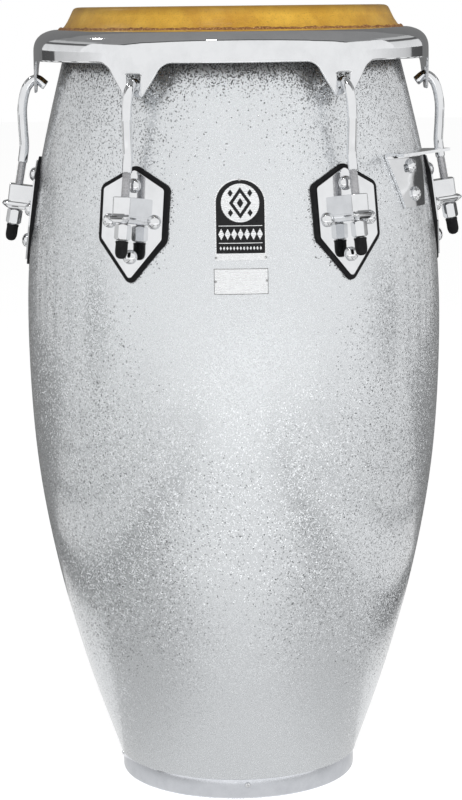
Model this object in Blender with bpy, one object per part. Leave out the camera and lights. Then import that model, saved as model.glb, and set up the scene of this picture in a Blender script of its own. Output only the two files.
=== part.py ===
"""Conga drum: fibreglass shell, skin head, chrome rim and six tuning stations.

Metres, +Z up. The origin is on the drum's axis, on the floor. Azimuth 0 is the
front of the drum (towards -Y), and azimuth grows towards +X.
"""
import math

import bmesh
import bpy
import numpy as np
from mathutils import Matrix, Vector

# Driving dimensions
HEIGHT = 0.762
SEGMENTS = 36
GAP = 0.0003

# Shell: outside radius at chosen heights, from the shoulder over the belly to the top
SHELL_OUTLINE = (
    (0.1193, 0.0212),
    (0.1530, 0.1200),
    (0.1795, 0.2220),
    (0.1965, 0.3260),
    (0.2026, 0.4400),
    (0.1990, 0.5350),
    (0.1850, 0.6230),
    (0.1542, 0.7500),
)
SHELL_WALL = 0.008
SHELL_FOOT_RADIUS = 0.1148
SHELL_FOOT_Z = 0.0028
SHELL_SHOULDER_DROP = 0.0006
SHELL_FOOT_INNER_STEP = 0.0036
# Bearing edge: radius, and depth under the skin's inside
BEARING_EDGE = ((0.1512, 0.0013), (0.1492, 0.0), (0.1461, 0.0022))

# Base ring: a channel under the foot of the shell
BASE_RADIUS = 0.1168
BASE_HEIGHT = 0.0204
BASE_SHEET = 0.0017
BASE_LIP_HEIGHT = 0.0070
BASE_SCREW_ANGLES = (2, 92, 182, 272)
BASE_CHAMFER = 0.0010
BASE_FLOOR = 0.0025
BASE_SCREW_Z = 0.0145
BASE_SCREW_HOLE = 0.0022
BASE_SCREW_HOLE_REACH = (-0.0075, 0.0010)
# Screw outline: radius, and height over the ring's side
BASE_SCREW_OUTLINE = (
    (0.0, 0.0019),
    (0.0018, 0.0015),
    (0.0031, -0.0004),
    (0.0015, -0.0006),
    (0.0015, -0.0070),
    (0.0, -0.0070),
)

# Head and flesh hoop
SKIN = 0.0022
HOOP_RADIUS = 0.1755
HOOP_Z = 0.7299
HOOP_WIRE = 0.0040
HOOP_SIDES = 8
TUCK_CLEARANCE = 0.00035
# Skin outside the flat: radius and height, down the collar, at the cut edge, and back inside
COLLAR_OUTSIDE = (
    (0.1495, HEIGHT),
    (0.1529, 0.7611),
    (0.1550, 0.7575),
    (0.1602, 0.7487),
    (0.1666, 0.7405),
    (0.1690, 0.7368),
)
CUT_EDGE = (
    (0.1696, 0.7374),
    (0.1665, 0.7446),
    (0.1673, 0.7450),
    (0.1681, 0.7412),
    (0.1710, 0.7373),
)
COLLAR_INSIDE = (
    (0.1671, 0.7357),
    (0.1584, 0.7475),
    (0.1531, 0.7560),
    (0.1517, 0.7590),
    (0.1493, HEIGHT - SKIN),
)

# Rim: the angle from an ear's middle and the height of the skirt's lower edge there
RIM_SKIRT_RADIUS = 0.1913
RIM_SHEET = 0.0025
RIM_SKIRT_Z = 0.7116
# Rolled crown above the skirt: radius and height, up the outside and back down the inside
RIM_CROWN = (
    (RIM_SKIRT_RADIUS, 0.7235),
    (0.1887, 0.7315),
    (0.1830, 0.7369),
    (0.1760, 0.7398),
    (0.1702, 0.7409),
    (0.1692, 0.7399),
    (0.1706, 0.7384),
    (0.1760, 0.7373),
    (0.1806, 0.7354),
    (0.1864, 0.7298),
    (RIM_SKIRT_RADIUS - RIM_SHEET, 0.7235),
)
EAR_OUTLINE = (
    (0.0, 0.6810),
    (2.2, 0.6810),
    (2.9, 0.6825),
    (6.5, 0.6993),
    (8.2, 0.7082),
    (10.0, 0.7116),
    (20.0, 0.7116),
    (30.0, 0.7116),
)
EAR_HOLE_TOP = 0.7010
EAR_HOLE_BOTTOM = 0.6872
EAR_HOLE_TOP_WIDTH = 0.0136
EAR_HOLE_BOTTOM_WIDTH = 0.0114
EAR_CUT_MARGIN = 0.005

# Tuning stations, numbered anticlockwise seen from above, from the front right
STATION_ANGLES = (30, 90, 150, 210, 270, 330)
PAD_FACE_RADIUS = 0.1957
PAD_FACE_Z = 0.568
PAD_TILT = math.radians(7.8)
PAD_TOP = 0.0530
PAD_SHOULDER = 0.0337
PAD_HIP = -0.0160
PAD_BOTTOM = -0.0580
PAD_HALF_WIDTH = 0.0355
PAD_DEPTH = 0.016
PAD_CORNER = 0.0075
PAD_BAND = (0.48, 0.66)
PLATE_BORDER = 0.0035
PLATE_SHEET = 0.0015
PLATE_BACK = GAP
PLATE_FACE = PLATE_BACK + PLATE_SHEET
# How far a welded block runs into the sheet behind it
WELD = 0.0010

# Claw: a strap welded on the plate, open at the top, with a flared lip and a floor
CLAW_TOP = 0.0225
CLAW_WIDTH = 0.0180
CLAW_DEPTH = 0.0242
CLAW_SHEET = 0.0025
LIP_TOP = 0.0076
LIP_BOTTOM = -0.0013
LIP_WIDTH = 0.0215
LIP_DEPTH = 0.0300
LIP_TAPER = 0.0035
CLAW_FLOOR = 0.0030
CLAW_FOOT_RISE = 0.0020
CLAW_CUT_MARGIN = 0.010
ROD_HOLE_RADIUS = 0.0050
ROD_HOLE_SIDES = 12

# Dome bolts of the side plates: place on the plate, sideways and up
PLATE_BOLTS = (
    ("top", 0.0, 0.0338),
    ("right", 0.0233, 0.0014),
    ("left", -0.0233, 0.0014),
    ("bottom", 0.0, -0.0310),
)
BOLT_SIDES = 8
BOLT_DOME_RADIUS = 0.0067
BOLT_DOME_HEIGHT = 0.0052
BOLT_SHANK = 0.0028
BOLT_DOME_STEP = (0.62, 0.80)
BOLT_HOLE = 0.0036
BOLT_HOLE_REACH = (-0.040, 0.012)
HOLE_SIDES = 6
BOLT_GRIP = 0.0140
BOLT_NUT_RADIUS = 0.0056
BOLT_NUT_HEIGHT = 0.0048

# Tuning rod: its axis leans outward going down and passes the seat of the nut
ROD_TILT = math.radians(10.2)
SEAT_RADIUS = 0.2130
SEAT_Z = 0.5680
ROD_RADIUS = 0.00465
THREAD_RADIUS = 0.0038
THREAD_END = -0.0275
HOOK_PATH = (
    (0.1808, 0.6880),
    (0.1897, 0.6937),
    (0.1988, 0.6862),
    (0.2034, 0.6680),
    (0.2034, 0.6480),
    (0.2026, 0.6300),
    (0.2046, 0.6145),
)
THREAD_STEP = 0.0004
THREAD_CHAMFER = 0.0008

NUT_ACROSS_FLATS = 0.0130
NUT_HEIGHT = 0.0142
NUT_BORE = 0.0044
NUT_CUT_MARGIN = 0.005
CAP_TOP = -0.0149
CAP_BOTTOM = -0.0314
CAP_RADIUS = 0.0059
CAP_BORE = 0.0044
CAP_BORE_END = -0.0294
# Rounded end: share of the radius, and height over the bottom
CAP_END = ((0.60, 0.0009), (0.93, 0.0036), (1.0, 0.0070))
CAP_SIDES = 10

# Accessory bracket: a curved plate on the shell with a level shelf
BRACKET_ANGLE = 59.3
BRACKET_SHEET = 0.0028
BRACKET_TOP = 0.6260
BRACKET_BOTTOM = 0.5739
BRACKET_TOP_HALF = 0.0410
BRACKET_BOTTOM_HALF = 0.0215
BRACKET_BLOCK = (0.150, 0.230)
BRACKET_BAND = (0.56, 0.64)
SHELF_REACH = 0.2080
SHELF_HALF_WIDTH = 0.0540
SHELF_ROOT_HALF = 0.0420
SHELF_ROOT_REACH = 0.1845
SHELF_HOLE_RADIUS = 0.0020
SHELF_HOLE_INSET = 0.008
SHELF_CUT_MARGIN = 0.010
BRACKET_BOLTS = ((0.6115, math.radians(11.2)), (0.5857, math.radians(9.4)))
BRACKET_BOLT_RADIUS = 0.0070
BRACKET_BOLT_HOLE_REACH = (-0.030, 0.020)
BOLT_SINK = 0.0005
SLOT_Z = 0.6100
SLOT_HALF_WIDTH = 0.0137
SLOT_HALF_HEIGHT = 0.0037


def clear_scene():
    for item in list(bpy.data.objects):
        bpy.data.objects.remove(item, do_unlink=True)


def finish(name, colour, roughness, metallic):
    """A Principled material of one colour."""
    material = bpy.data.materials.new(name)
    material.use_nodes = True
    shader = material.node_tree.nodes["Principled BSDF"]
    shader.inputs["Base Color"].default_value = (*colour, 1.0)
    shader.inputs["Roughness"].default_value = roughness
    shader.inputs["Metallic"].default_value = metallic
    material.diffuse_color = (*colour, 1.0)
    return material


def add_object(name, data, material, parent=None, location=(0, 0, 0), tilt=0.0):
    """Place a piece: tilt leans its local +Z inward at the top, about its local X."""
    item = bpy.data.objects.new(name, data)
    bpy.context.scene.collection.objects.link(item)
    item.parent = parent
    item.location = location
    item.rotation_euler = (-tilt, 0.0, 0.0)
    if material is not None:
        data.materials.clear()
        data.materials.append(material)
    return item


def mesh_from(bm, name, smooth_angle=35):
    """Close a bmesh into a mesh with outward faces and smooth round surfaces."""
    bmesh.ops.recalc_face_normals(bm, faces=bm.faces)
    mesh = bpy.data.meshes.new(name)
    bm.to_mesh(mesh)
    bm.free()
    mesh.shade_smooth()
    mesh.set_sharp_from_angle(angle=math.radians(smooth_angle))
    return mesh


def smooth_curve(points, steps):
    """Points along a Catmull-Rom curve through the given ones."""
    path = [Vector(point) for point in points]
    path = [2 * path[0] - path[1]] + path + [2 * path[-1] - path[-2]]
    curve = []
    for before, start, end, after in zip(path, path[1:], path[2:], path[3:]):
        for step in range(steps):
            t = step / steps
            curve.append(0.5 * (
                2 * start
                + (end - before) * t
                + (2 * before - 5 * start + 4 * end - after) * t ** 2
                + (3 * start - before - 3 * end + after) * t ** 3
            ))
    curve.append(path[-2])
    return curve


def arc_points(centre, radius, start, end, steps):
    """Points of an arc, angles in degrees, both ends included."""
    angles = np.radians(np.linspace(start, end, steps + 1))
    return [
        (centre[0] + radius * math.cos(angle), centre[1] + radius * math.sin(angle))
        for angle in angles
    ]


def spin_profile(bm, profile, segments):
    """Turn a closed outline of (radius, height) points about Z."""
    corners = [bm.verts.new((radius, 0.0, height)) for radius, height in profile]
    edges = [
        bm.edges.new((first, second))
        for first, second in zip(corners, corners[1:] + corners[:1])
        if first.co.x > 0 or second.co.x > 0
    ]
    bmesh.ops.spin(
        bm,
        geom=corners + edges,
        cent=(0, 0, 0),
        axis=(0, 0, 1),
        angle=2 * math.pi,
        steps=segments,
        use_merge=True,
    )
    bmesh.ops.remove_doubles(bm, verts=bm.verts, dist=0.00002)


def turned_mesh(name, profile, segments=SEGMENTS):
    bm = bmesh.new()
    spin_profile(bm, profile, segments)
    return mesh_from(bm, name)


def prism(bm, outline, lower, upper, place=Matrix()):
    """Extrude a flat outline of (x, y) points from z = lower to z = upper."""
    corners = [bm.verts.new(place @ Vector((x, y, lower))) for x, y in outline]
    face = bm.faces.new(corners)
    pushed = bmesh.ops.extrude_face_region(bm, geom=[face])
    lift = place.to_3x3() @ Vector((0, 0, upper - lower))
    moved = [part for part in pushed["geom"] if isinstance(part, bmesh.types.BMVert)]
    bmesh.ops.translate(bm, verts=moved, vec=lift)


def cylinder(bm, radius, lower, upper, place, sides):
    """A round bar along the Z axis of the given place."""
    middle = Matrix.Translation((0, 0, (lower + upper) / 2))
    bmesh.ops.create_cone(
        bm,
        cap_ends=True,
        segments=sides,
        radius1=radius,
        radius2=radius,
        depth=upper - lower,
        matrix=place @ middle,
    )


def box(bm, x_range, y_range, z_range):
    size = [high - low for low, high in (x_range, y_range, z_range)]
    centre = [(high + low) / 2 for low, high in (x_range, y_range, z_range)]
    place = Matrix.Translation(centre) @ Matrix.Diagonal((*size, 1.0))
    bmesh.ops.create_cube(bm, size=1.0, matrix=place)


def gather(bm, piece, place):
    """Move a scratch bmesh to its place, add it to another one and free it."""
    piece.transform(place)
    spare = bpy.data.meshes.new("spare")
    piece.to_mesh(spare)
    piece.free()
    bm.from_mesh(spare)
    bpy.data.meshes.remove(spare)


def tool_object(bm):
    """A cutter or an added block that is used up by combine."""
    return add_object("tool", mesh_from(bm, "tool"), None)


def combine(body, tool, operation):
    """Apply one exact Boolean of the tool to the body, then remove the tool."""
    step = body.modifiers.new("combine", "BOOLEAN")
    step.operation = operation
    step.solver = "EXACT"
    step.object = tool
    bpy.context.view_layer.update()
    graph = bpy.context.evaluated_depsgraph_get()
    mesh = bpy.data.meshes.new_from_object(body.evaluated_get(graph))
    body.modifiers.clear()
    body.data = mesh
    bpy.data.objects.remove(tool, do_unlink=True)


def take_mesh(body, smooth_angle=35):
    """Keep the finished mesh of a scratch object and remove the object."""
    mesh = body.data
    mesh.shade_smooth()
    mesh.set_sharp_from_angle(angle=math.radians(smooth_angle))
    bpy.data.objects.remove(body, do_unlink=True)
    return mesh


def rounded_outline(corners, radius, steps):
    """Round each corner of a convex outline with an arc of the given radius."""
    outline = []
    count = len(corners)
    for index, corner in enumerate(corners):
        here = Vector(corner)
        back = (Vector(corners[index - 1]) - here).normalized()
        ahead = (Vector(corners[(index + 1) % count]) - here).normalized()
        half = back.angle(ahead) / 2
        centre = here + (back + ahead).normalized() * radius / math.sin(half)
        start = here + back * radius / math.tan(half) - centre
        end = here + ahead * radius / math.tan(half) - centre
        for step in range(steps + 1):
            spoke = start.lerp(end, step / steps)
            outline.append(tuple(centre + spoke.normalized() * radius))
    return outline


def inset_outline(corners, distance):
    """Move each side of a convex anticlockwise outline inward by a distance."""
    result = []
    count = len(corners)
    for index, corner in enumerate(corners):
        here = Vector(corner)
        back = (here - Vector(corners[index - 1])).normalized()
        ahead = (Vector(corners[(index + 1) % count]) - here).normalized()
        inward_back = Vector((-back.y, back.x))
        inward_ahead = Vector((-ahead.y, ahead.x))
        slide = (inward_back + inward_ahead) / (1 + inward_back.dot(inward_ahead))
        result.append(tuple(here + slide * distance))
    return result


def turn(azimuth):
    """World from station: station -Y is the outward direction at this azimuth."""
    return Matrix.Rotation(math.radians(azimuth), 4, "Z")


def lean(radius, height, tilt):
    """Station from piece, for a piece that leans inward at its top."""
    return Matrix.Translation((0, -radius, height)) @ Matrix.Rotation(-tilt, 4, "X")


# A piece's Z axis turned to point outward from the drum
OUTWARD = Matrix.Rotation(math.radians(90), 4, "X")


def pad_corners():
    """The six corners of a station's pad, anticlockwise seen from outside."""
    return (
        (0.0, PAD_BOTTOM),
        (PAD_HALF_WIDTH, PAD_HIP),
        (PAD_HALF_WIDTH, PAD_SHOULDER),
        (0.0, PAD_TOP),
        (-PAD_HALF_WIDTH, PAD_SHOULDER),
        (-PAD_HALF_WIDTH, PAD_HIP),
    )


def outer_outline():
    return [tuple(point) for point in smooth_curve(SHELL_OUTLINE, 2)]


def grown_shell(growth, lower, upper):
    """A solid of the shell's outside grown by a distance, between two heights."""
    outline = outer_outline()
    radii = [radius for radius, height in outline]
    heights = [height for radius, height in outline]
    levels = [lower] + [z for z in heights if lower < z < upper] + [upper]
    rings = [(float(np.interp(z, heights, radii)) + growth, z) for z in levels]
    bm = bmesh.new()
    spin_profile(bm, rings + [(0.0, upper), (0.0, lower)], SEGMENTS)
    return tool_object(bm)


def bracket_bolt_places():
    """World places of the bracket's bolts: origin on the plate's face, +Z outward."""
    outline = outer_outline()
    radii = [radius for radius, height in outline]
    heights = [height for radius, height in outline]
    places = []
    for height, tilt in BRACKET_BOLTS:
        face = float(np.interp(height, heights, radii)) + GAP + BRACKET_SHEET
        places.append(turn(BRACKET_ANGLE) @ lean(face, height, tilt) @ OUTWARD)
    return places


def bolt_holes(bm, sides):
    """The four through holes of one station, along the plate's normal."""
    for _, sideways, up in PLATE_BOLTS:
        place = Matrix.Translation((sideways, 0, up)) @ OUTWARD
        cylinder(bm, BOLT_HOLE, *BOLT_HOLE_REACH, place, sides)


def build_shell(material):
    outer = outer_outline()
    inner = [(radius - SHELL_WALL, height) for radius, height in reversed(outer[1:-1:2])]
    top = HEIGHT - SKIN - GAP
    edge = [(radius, top - depth) for radius, depth in BEARING_EDGE]
    foot_inside = SHELL_FOOT_RADIUS - SHELL_WALL
    shoulder = outer[0][1]
    foot = [
        (foot_inside + SHELL_FOOT_INNER_STEP, shoulder),
        (foot_inside, SHELL_FOOT_Z),
        (SHELL_FOOT_RADIUS, SHELL_FOOT_Z),
        (SHELL_FOOT_RADIUS, shoulder - SHELL_SHOULDER_DROP),
    ]
    profile = outer + edge + inner + foot
    shell = add_object("shell", turned_mesh("shell", profile), material)
    holes = bmesh.new()
    for azimuth in STATION_ANGLES:
        station_holes = bmesh.new()
        bolt_holes(station_holes, HOLE_SIDES)
        place = turn(azimuth) @ lean(PAD_FACE_RADIUS, PAD_FACE_Z, PAD_TILT)
        gather(holes, station_holes, place)
    for place in bracket_bolt_places():
        cylinder(holes, BOLT_HOLE, *BRACKET_BOLT_HOLE_REACH, place, HOLE_SIDES)
    for azimuth in BASE_SCREW_ANGLES:
        place = turn(azimuth) @ lean(BASE_RADIUS, BASE_SCREW_Z, 0.0) @ OUTWARD
        cylinder(holes, BASE_SCREW_HOLE, *BASE_SCREW_HOLE_REACH, place, HOLE_SIDES)
    combine(shell, tool_object(holes), "DIFFERENCE")
    shell.data.set_sharp_from_angle(angle=math.radians(35))
    return shell


def build_base_ring(material):
    """A channel of sheet under the shell's foot, held by four screws through its side."""
    lip_outer = SHELL_FOOT_RADIUS - SHELL_WALL - GAP
    profile = [
        (BASE_RADIUS, BASE_CHAMFER),
        (BASE_RADIUS, BASE_HEIGHT),
        (BASE_RADIUS - BASE_SHEET, BASE_HEIGHT),
        (BASE_RADIUS - BASE_SHEET, BASE_FLOOR),
        (lip_outer, BASE_FLOOR),
        (lip_outer, BASE_LIP_HEIGHT),
        (lip_outer - BASE_SHEET, BASE_LIP_HEIGHT),
        (lip_outer - BASE_SHEET, 0.0),
        (BASE_RADIUS - BASE_CHAMFER, 0.0),
    ]
    ring = add_object("base_ring", turned_mesh("base_ring", profile), material)
    screws = bmesh.new()
    for azimuth in BASE_SCREW_ANGLES:
        place = turn(azimuth) @ lean(BASE_RADIUS, BASE_SCREW_Z, 0.0) @ OUTWARD
        screw = bmesh.new()
        spin_profile(screw, BASE_SCREW_OUTLINE, BOLT_SIDES)
        gather(screws, screw, place)
    combine(ring, tool_object(screws), "UNION")
    ring.data.set_sharp_from_angle(angle=math.radians(35))
    return ring


def build_head(material):
    """The skin: flat over the shell, down the collar, under the hoop and up to its cut edge."""
    hoop = (HOOP_RADIUS, HOOP_Z)
    inner_turn = HOOP_WIRE + TUCK_CLEARANCE
    outer_turn = inner_turn + SKIN
    around_hoop = arc_points(hoop, inner_turn, 180, 450, 6)
    back_round = arc_points(hoop, outer_turn, 450, 180, 6)
    profile = [
        (0.0, HEIGHT),
        *COLLAR_OUTSIDE,
        *around_hoop,
        *CUT_EDGE,
        *back_round,
        *COLLAR_INSIDE,
        (0.0, HEIGHT - SKIN),
    ]
    return add_object("head", turned_mesh("head", profile), material)


def build_flesh_hoop(material):
    profile = arc_points((HOOP_RADIUS, HOOP_Z), HOOP_WIRE, 0, 360, HOOP_SIDES)[:-1]
    return add_object("flesh_hoop", turned_mesh("flesh_hoop", profile), material)


def rim_columns():
    """Azimuths of the rim's columns and the height of the lower edge at each."""
    columns = {}
    for azimuth in STATION_ANGLES:
        for offset, height in EAR_OUTLINE:
            columns[round((azimuth + offset) % 360, 3)] = height
            columns[round((azimuth - offset) % 360, 3)] = height
    return sorted(columns.items())


def build_rim(material):
    """The rolled crown with six ears, each with a hole for its hook."""
    inside = RIM_SKIRT_RADIUS - RIM_SHEET
    profile = [(RIM_SKIRT_RADIUS, RIM_SKIRT_Z), *RIM_CROWN, (inside, RIM_SKIRT_Z)]
    columns = rim_columns()
    bm = bmesh.new()
    corners = [bm.verts.new((0.0, -radius, height)) for radius, height in profile]
    edges = [
        bm.edges.new((first, second))
        for first, second in zip(corners, corners[1:] + corners[:1])
    ]
    column = corners + edges
    azimuths = [azimuth for azimuth, height in columns] + [360.0 + columns[0][0]]
    bmesh.ops.rotate(
        bm, verts=corners, cent=(0, 0, 0), matrix=turn(azimuths[0]).to_3x3()
    )
    for start, end in zip(azimuths, azimuths[1:]):
        swept = bmesh.ops.spin(
            bm,
            geom=column,
            cent=(0, 0, 0),
            axis=(0, 0, 1),
            angle=math.radians(end - start),
            steps=1,
        )
        column = swept["geom_last"]
    bmesh.ops.remove_doubles(bm, verts=bm.verts, dist=0.00002)
    edge_heights = dict(columns)
    for vert in bm.verts:
        if abs(vert.co.z - RIM_SKIRT_Z) < 0.00001:
            azimuth = math.degrees(math.atan2(vert.co.x, -vert.co.y)) % 360
            nearest = min(edge_heights, key=lambda key: abs(key - azimuth))
            vert.co.z = edge_heights[nearest]
    rim = add_object("rim", mesh_from(bm, "rim"), material)
    holes = bmesh.new()
    hole = (
        (-EAR_HOLE_BOTTOM_WIDTH / 2, EAR_HOLE_BOTTOM),
        (EAR_HOLE_BOTTOM_WIDTH / 2, EAR_HOLE_BOTTOM),
        (EAR_HOLE_TOP_WIDTH / 2, EAR_HOLE_TOP),
        (-EAR_HOLE_TOP_WIDTH / 2, EAR_HOLE_TOP),
    )
    cut = (inside - EAR_CUT_MARGIN, RIM_SKIRT_RADIUS + EAR_CUT_MARGIN)
    for azimuth in STATION_ANGLES:
        prism(holes, hole, *cut, turn(azimuth) @ OUTWARD)
    combine(rim, tool_object(holes), "DIFFERENCE")
    rim.data.set_sharp_from_angle(angle=math.radians(35))
    return rim


def pad_mesh():
    """Rubber pad: flat outside, cut to the shell inside, with four bolt holes."""
    bm = bmesh.new()
    outline = rounded_outline(pad_corners(), PAD_CORNER, 2)
    prism(bm, outline, -PAD_DEPTH, 0.0, OUTWARD)
    pad = add_object("pad", mesh_from(bm, "pad"), None)
    pad.matrix_world = lean(PAD_FACE_RADIUS, PAD_FACE_Z, PAD_TILT)
    combine(pad, grown_shell(GAP, *PAD_BAND), "DIFFERENCE")
    holes = bmesh.new()
    bolt_holes(holes, BOLT_SIDES)
    holes.transform(pad.matrix_world)
    combine(pad, tool_object(holes), "DIFFERENCE")
    return take_mesh(pad)


def side_plate_mesh():
    """Plate, welded claw and flared lip in one piece; local -Y is outward."""
    bm = bmesh.new()
    inner = inset_outline(pad_corners(), PLATE_BORDER)
    outline = rounded_outline(inner, PAD_CORNER - PLATE_BORDER, 2)
    prism(bm, outline, PLATE_BACK, PLATE_FACE, OUTWARD)
    plate = add_object("plate", mesh_from(bm, "plate"), None)

    claw_front = PLATE_FACE + CLAW_DEPTH
    half = CLAW_WIDTH / 2
    claw = bmesh.new()
    box(
        claw,
        (-half, half),
        (-claw_front, -PLATE_FACE + WELD),
        (LIP_BOTTOM + CLAW_FOOT_RISE, CLAW_TOP),
    )
    combine(plate, tool_object(claw), "UNION")

    lip = bmesh.new()
    lip_front = PLATE_FACE + LIP_DEPTH
    wide = LIP_WIDTH / 2
    section = (
        (-wide, WELD - PLATE_FACE),
        (wide, WELD - PLATE_FACE),
        (wide, -lip_front),
        (-wide, -lip_front),
    )
    prism(lip, section, LIP_BOTTOM, LIP_TOP)
    for vert in lip.verts:
        if vert.co.z < (LIP_TOP + LIP_BOTTOM) / 2:
            vert.co.x -= math.copysign(LIP_TAPER, vert.co.x)
            if vert.co.y < -PLATE_FACE:
                vert.co.y += LIP_TAPER
    combine(plate, tool_object(lip), "UNION")

    hollow = bmesh.new()
    inside = half - CLAW_SHEET
    box(
        hollow,
        (-inside, inside),
        (-claw_front + CLAW_SHEET, -PLATE_FACE),
        (LIP_BOTTOM + CLAW_FLOOR, CLAW_TOP + CLAW_CUT_MARGIN),
    )
    combine(plate, tool_object(hollow), "DIFFERENCE")

    holes = bmesh.new()
    station_from_plate = lean(PAD_FACE_RADIUS, PAD_FACE_Z, PAD_TILT)
    rod = station_from_plate.inverted() @ lean(SEAT_RADIUS, SEAT_Z, ROD_TILT)
    cylinder(holes, ROD_HOLE_RADIUS, -CLAW_CUT_MARGIN, CLAW_CUT_MARGIN, rod, ROD_HOLE_SIDES)
    bolt_holes(holes, BOLT_SIDES)
    combine(plate, tool_object(holes), "DIFFERENCE")
    return take_mesh(plate)


def bolt_profile(dome_radius):
    """A dome bolt with its nut inside the shell; z = 0 is the underside of the dome."""
    across, up = BOLT_DOME_STEP
    end = -BOLT_GRIP - BOLT_NUT_HEIGHT
    return [
        (0.0, BOLT_DOME_HEIGHT),
        (dome_radius * across, BOLT_DOME_HEIGHT * up),
        (dome_radius, 0.0),
        (BOLT_SHANK, 0.0),
        (BOLT_SHANK, -BOLT_GRIP),
        (BOLT_NUT_RADIUS, -BOLT_GRIP),
        (BOLT_NUT_RADIUS, end),
        (0.0, end),
    ]


def bolt_mesh():
    bm = bmesh.new()
    spin_profile(bm, bolt_profile(BOLT_DOME_RADIUS), BOLT_SIDES)
    bm.transform(OUTWARD)
    return mesh_from(bm, "plate_bolt")


def hook_curve():
    """The bent rod: a hook over the ear, a straight shank and the threaded end."""
    rod_from_station = lean(SEAT_RADIUS, SEAT_Z, ROD_TILT).inverted()
    path = [
        rod_from_station @ Vector((0, -point.x, point.y))
        for point in smooth_curve(HOOK_PATH, 2)
    ]
    shoulder = path[-1].z
    path[-1] = Vector((0, 0, shoulder))
    radii = [ROD_RADIUS] * len(path)
    for height, radius in (
        (shoulder - THREAD_STEP, THREAD_RADIUS),
        (THREAD_END + THREAD_CHAMFER, THREAD_RADIUS),
        (THREAD_END, THREAD_RADIUS - THREAD_CHAMFER),
    ):
        path.append(Vector((0, 0, height)))
        radii.append(radius)
    curve = bpy.data.curves.new("tuning_hook", "CURVE")
    curve.dimensions = "3D"
    curve.bevel_depth = 1.0
    curve.bevel_resolution = 2
    curve.use_fill_caps = True
    line = curve.splines.new("POLY")
    line.points.add(len(path) - 1)
    for point, place, radius in zip(line.points, path, radii):
        point.co = (*place, 1.0)
        point.radius = radius
    return curve


def nut_mesh():
    """Hexagon nut below the claw; z = 0 is the face that bears on the claw."""
    bm = bmesh.new()
    across_corners = NUT_ACROSS_FLATS / 2 / math.cos(math.radians(30))
    cylinder(bm, across_corners, -NUT_HEIGHT, 0.0, Matrix(), 6)
    nut = add_object("nut", mesh_from(bm, "nut"), None)
    bore = bmesh.new()
    cylinder(
        bore, NUT_BORE, -NUT_HEIGHT - NUT_CUT_MARGIN, NUT_CUT_MARGIN, Matrix(), ROD_HOLE_SIDES
    )
    combine(nut, tool_object(bore), "DIFFERENCE")
    return take_mesh(nut)


def cap_mesh():
    """Rubber cap over the rod's end, open at the top."""
    end = [(CAP_RADIUS * share, CAP_BOTTOM + height) for share, height in CAP_END]
    profile = [
        (CAP_BORE, CAP_TOP),
        (CAP_BORE, CAP_BORE_END),
        (0.0, CAP_BORE_END),
        (0.0, CAP_BOTTOM),
        *end,
        (CAP_RADIUS, CAP_TOP),
    ]
    return turned_mesh("rod_cap", profile, CAP_SIDES)


def build_bracket(material):
    """Curved plate with a slot and a level shelf, with its two dome bolts set in it."""
    place = turn(BRACKET_ANGLE)
    bm = bmesh.new()
    outline = (
        (-BRACKET_BOTTOM_HALF, BRACKET_BOTTOM),
        (BRACKET_BOTTOM_HALF, BRACKET_BOTTOM),
        (BRACKET_TOP_HALF, BRACKET_TOP),
        (-BRACKET_TOP_HALF, BRACKET_TOP),
    )
    prism(bm, outline, *BRACKET_BLOCK, place @ OUTWARD)
    bracket = add_object("accessory_bracket", mesh_from(bm, "accessory_bracket"), material)
    combine(bracket, grown_shell(GAP + BRACKET_SHEET, *BRACKET_BAND), "INTERSECT")

    shelf = bmesh.new()
    section = (
        (-SHELF_ROOT_HALF, -BRACKET_BLOCK[0]),
        (-SHELF_ROOT_HALF, -SHELF_ROOT_REACH),
        (-SHELF_HALF_WIDTH, -SHELF_REACH),
        (SHELF_HALF_WIDTH, -SHELF_REACH),
        (SHELF_ROOT_HALF, -SHELF_ROOT_REACH),
        (SHELF_ROOT_HALF, -BRACKET_BLOCK[0]),
    )
    prism(shelf, section, BRACKET_TOP - BRACKET_SHEET, BRACKET_TOP, place)
    combine(bracket, tool_object(shelf), "UNION")
    combine(bracket, grown_shell(GAP, *BRACKET_BAND), "DIFFERENCE")

    openings = bmesh.new()
    slot = (
        (-SLOT_HALF_WIDTH, SLOT_Z - SLOT_HALF_HEIGHT),
        (SLOT_HALF_WIDTH, SLOT_Z - SLOT_HALF_HEIGHT),
        (SLOT_HALF_WIDTH, SLOT_Z + SLOT_HALF_HEIGHT),
        (-SLOT_HALF_WIDTH, SLOT_Z + SLOT_HALF_HEIGHT),
    )
    prism(openings, slot, *BRACKET_BLOCK, place @ OUTWARD)
    for side in (-1, 1):
        sideways = side * (SHELF_HALF_WIDTH - SHELF_HOLE_INSET)
        hole = place @ Matrix.Translation((sideways, SHELF_HOLE_INSET - SHELF_REACH, BRACKET_TOP))
        cylinder(
            openings, SHELF_HOLE_RADIUS, -SHELF_CUT_MARGIN, SHELF_CUT_MARGIN, hole, BOLT_SIDES
        )
    combine(bracket, tool_object(openings), "DIFFERENCE")

    for bolt_place in bracket_bolt_places():
        bolt = bmesh.new()
        spin_profile(bolt, bolt_profile(BRACKET_BOLT_RADIUS), BOLT_SIDES)
        bolt.transform(bolt_place @ Matrix.Translation((0, 0, -BOLT_SINK)))
        combine(bracket, tool_object(bolt), "UNION")
    bracket.data.set_sharp_from_angle(angle=math.radians(35))
    return bracket


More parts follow.
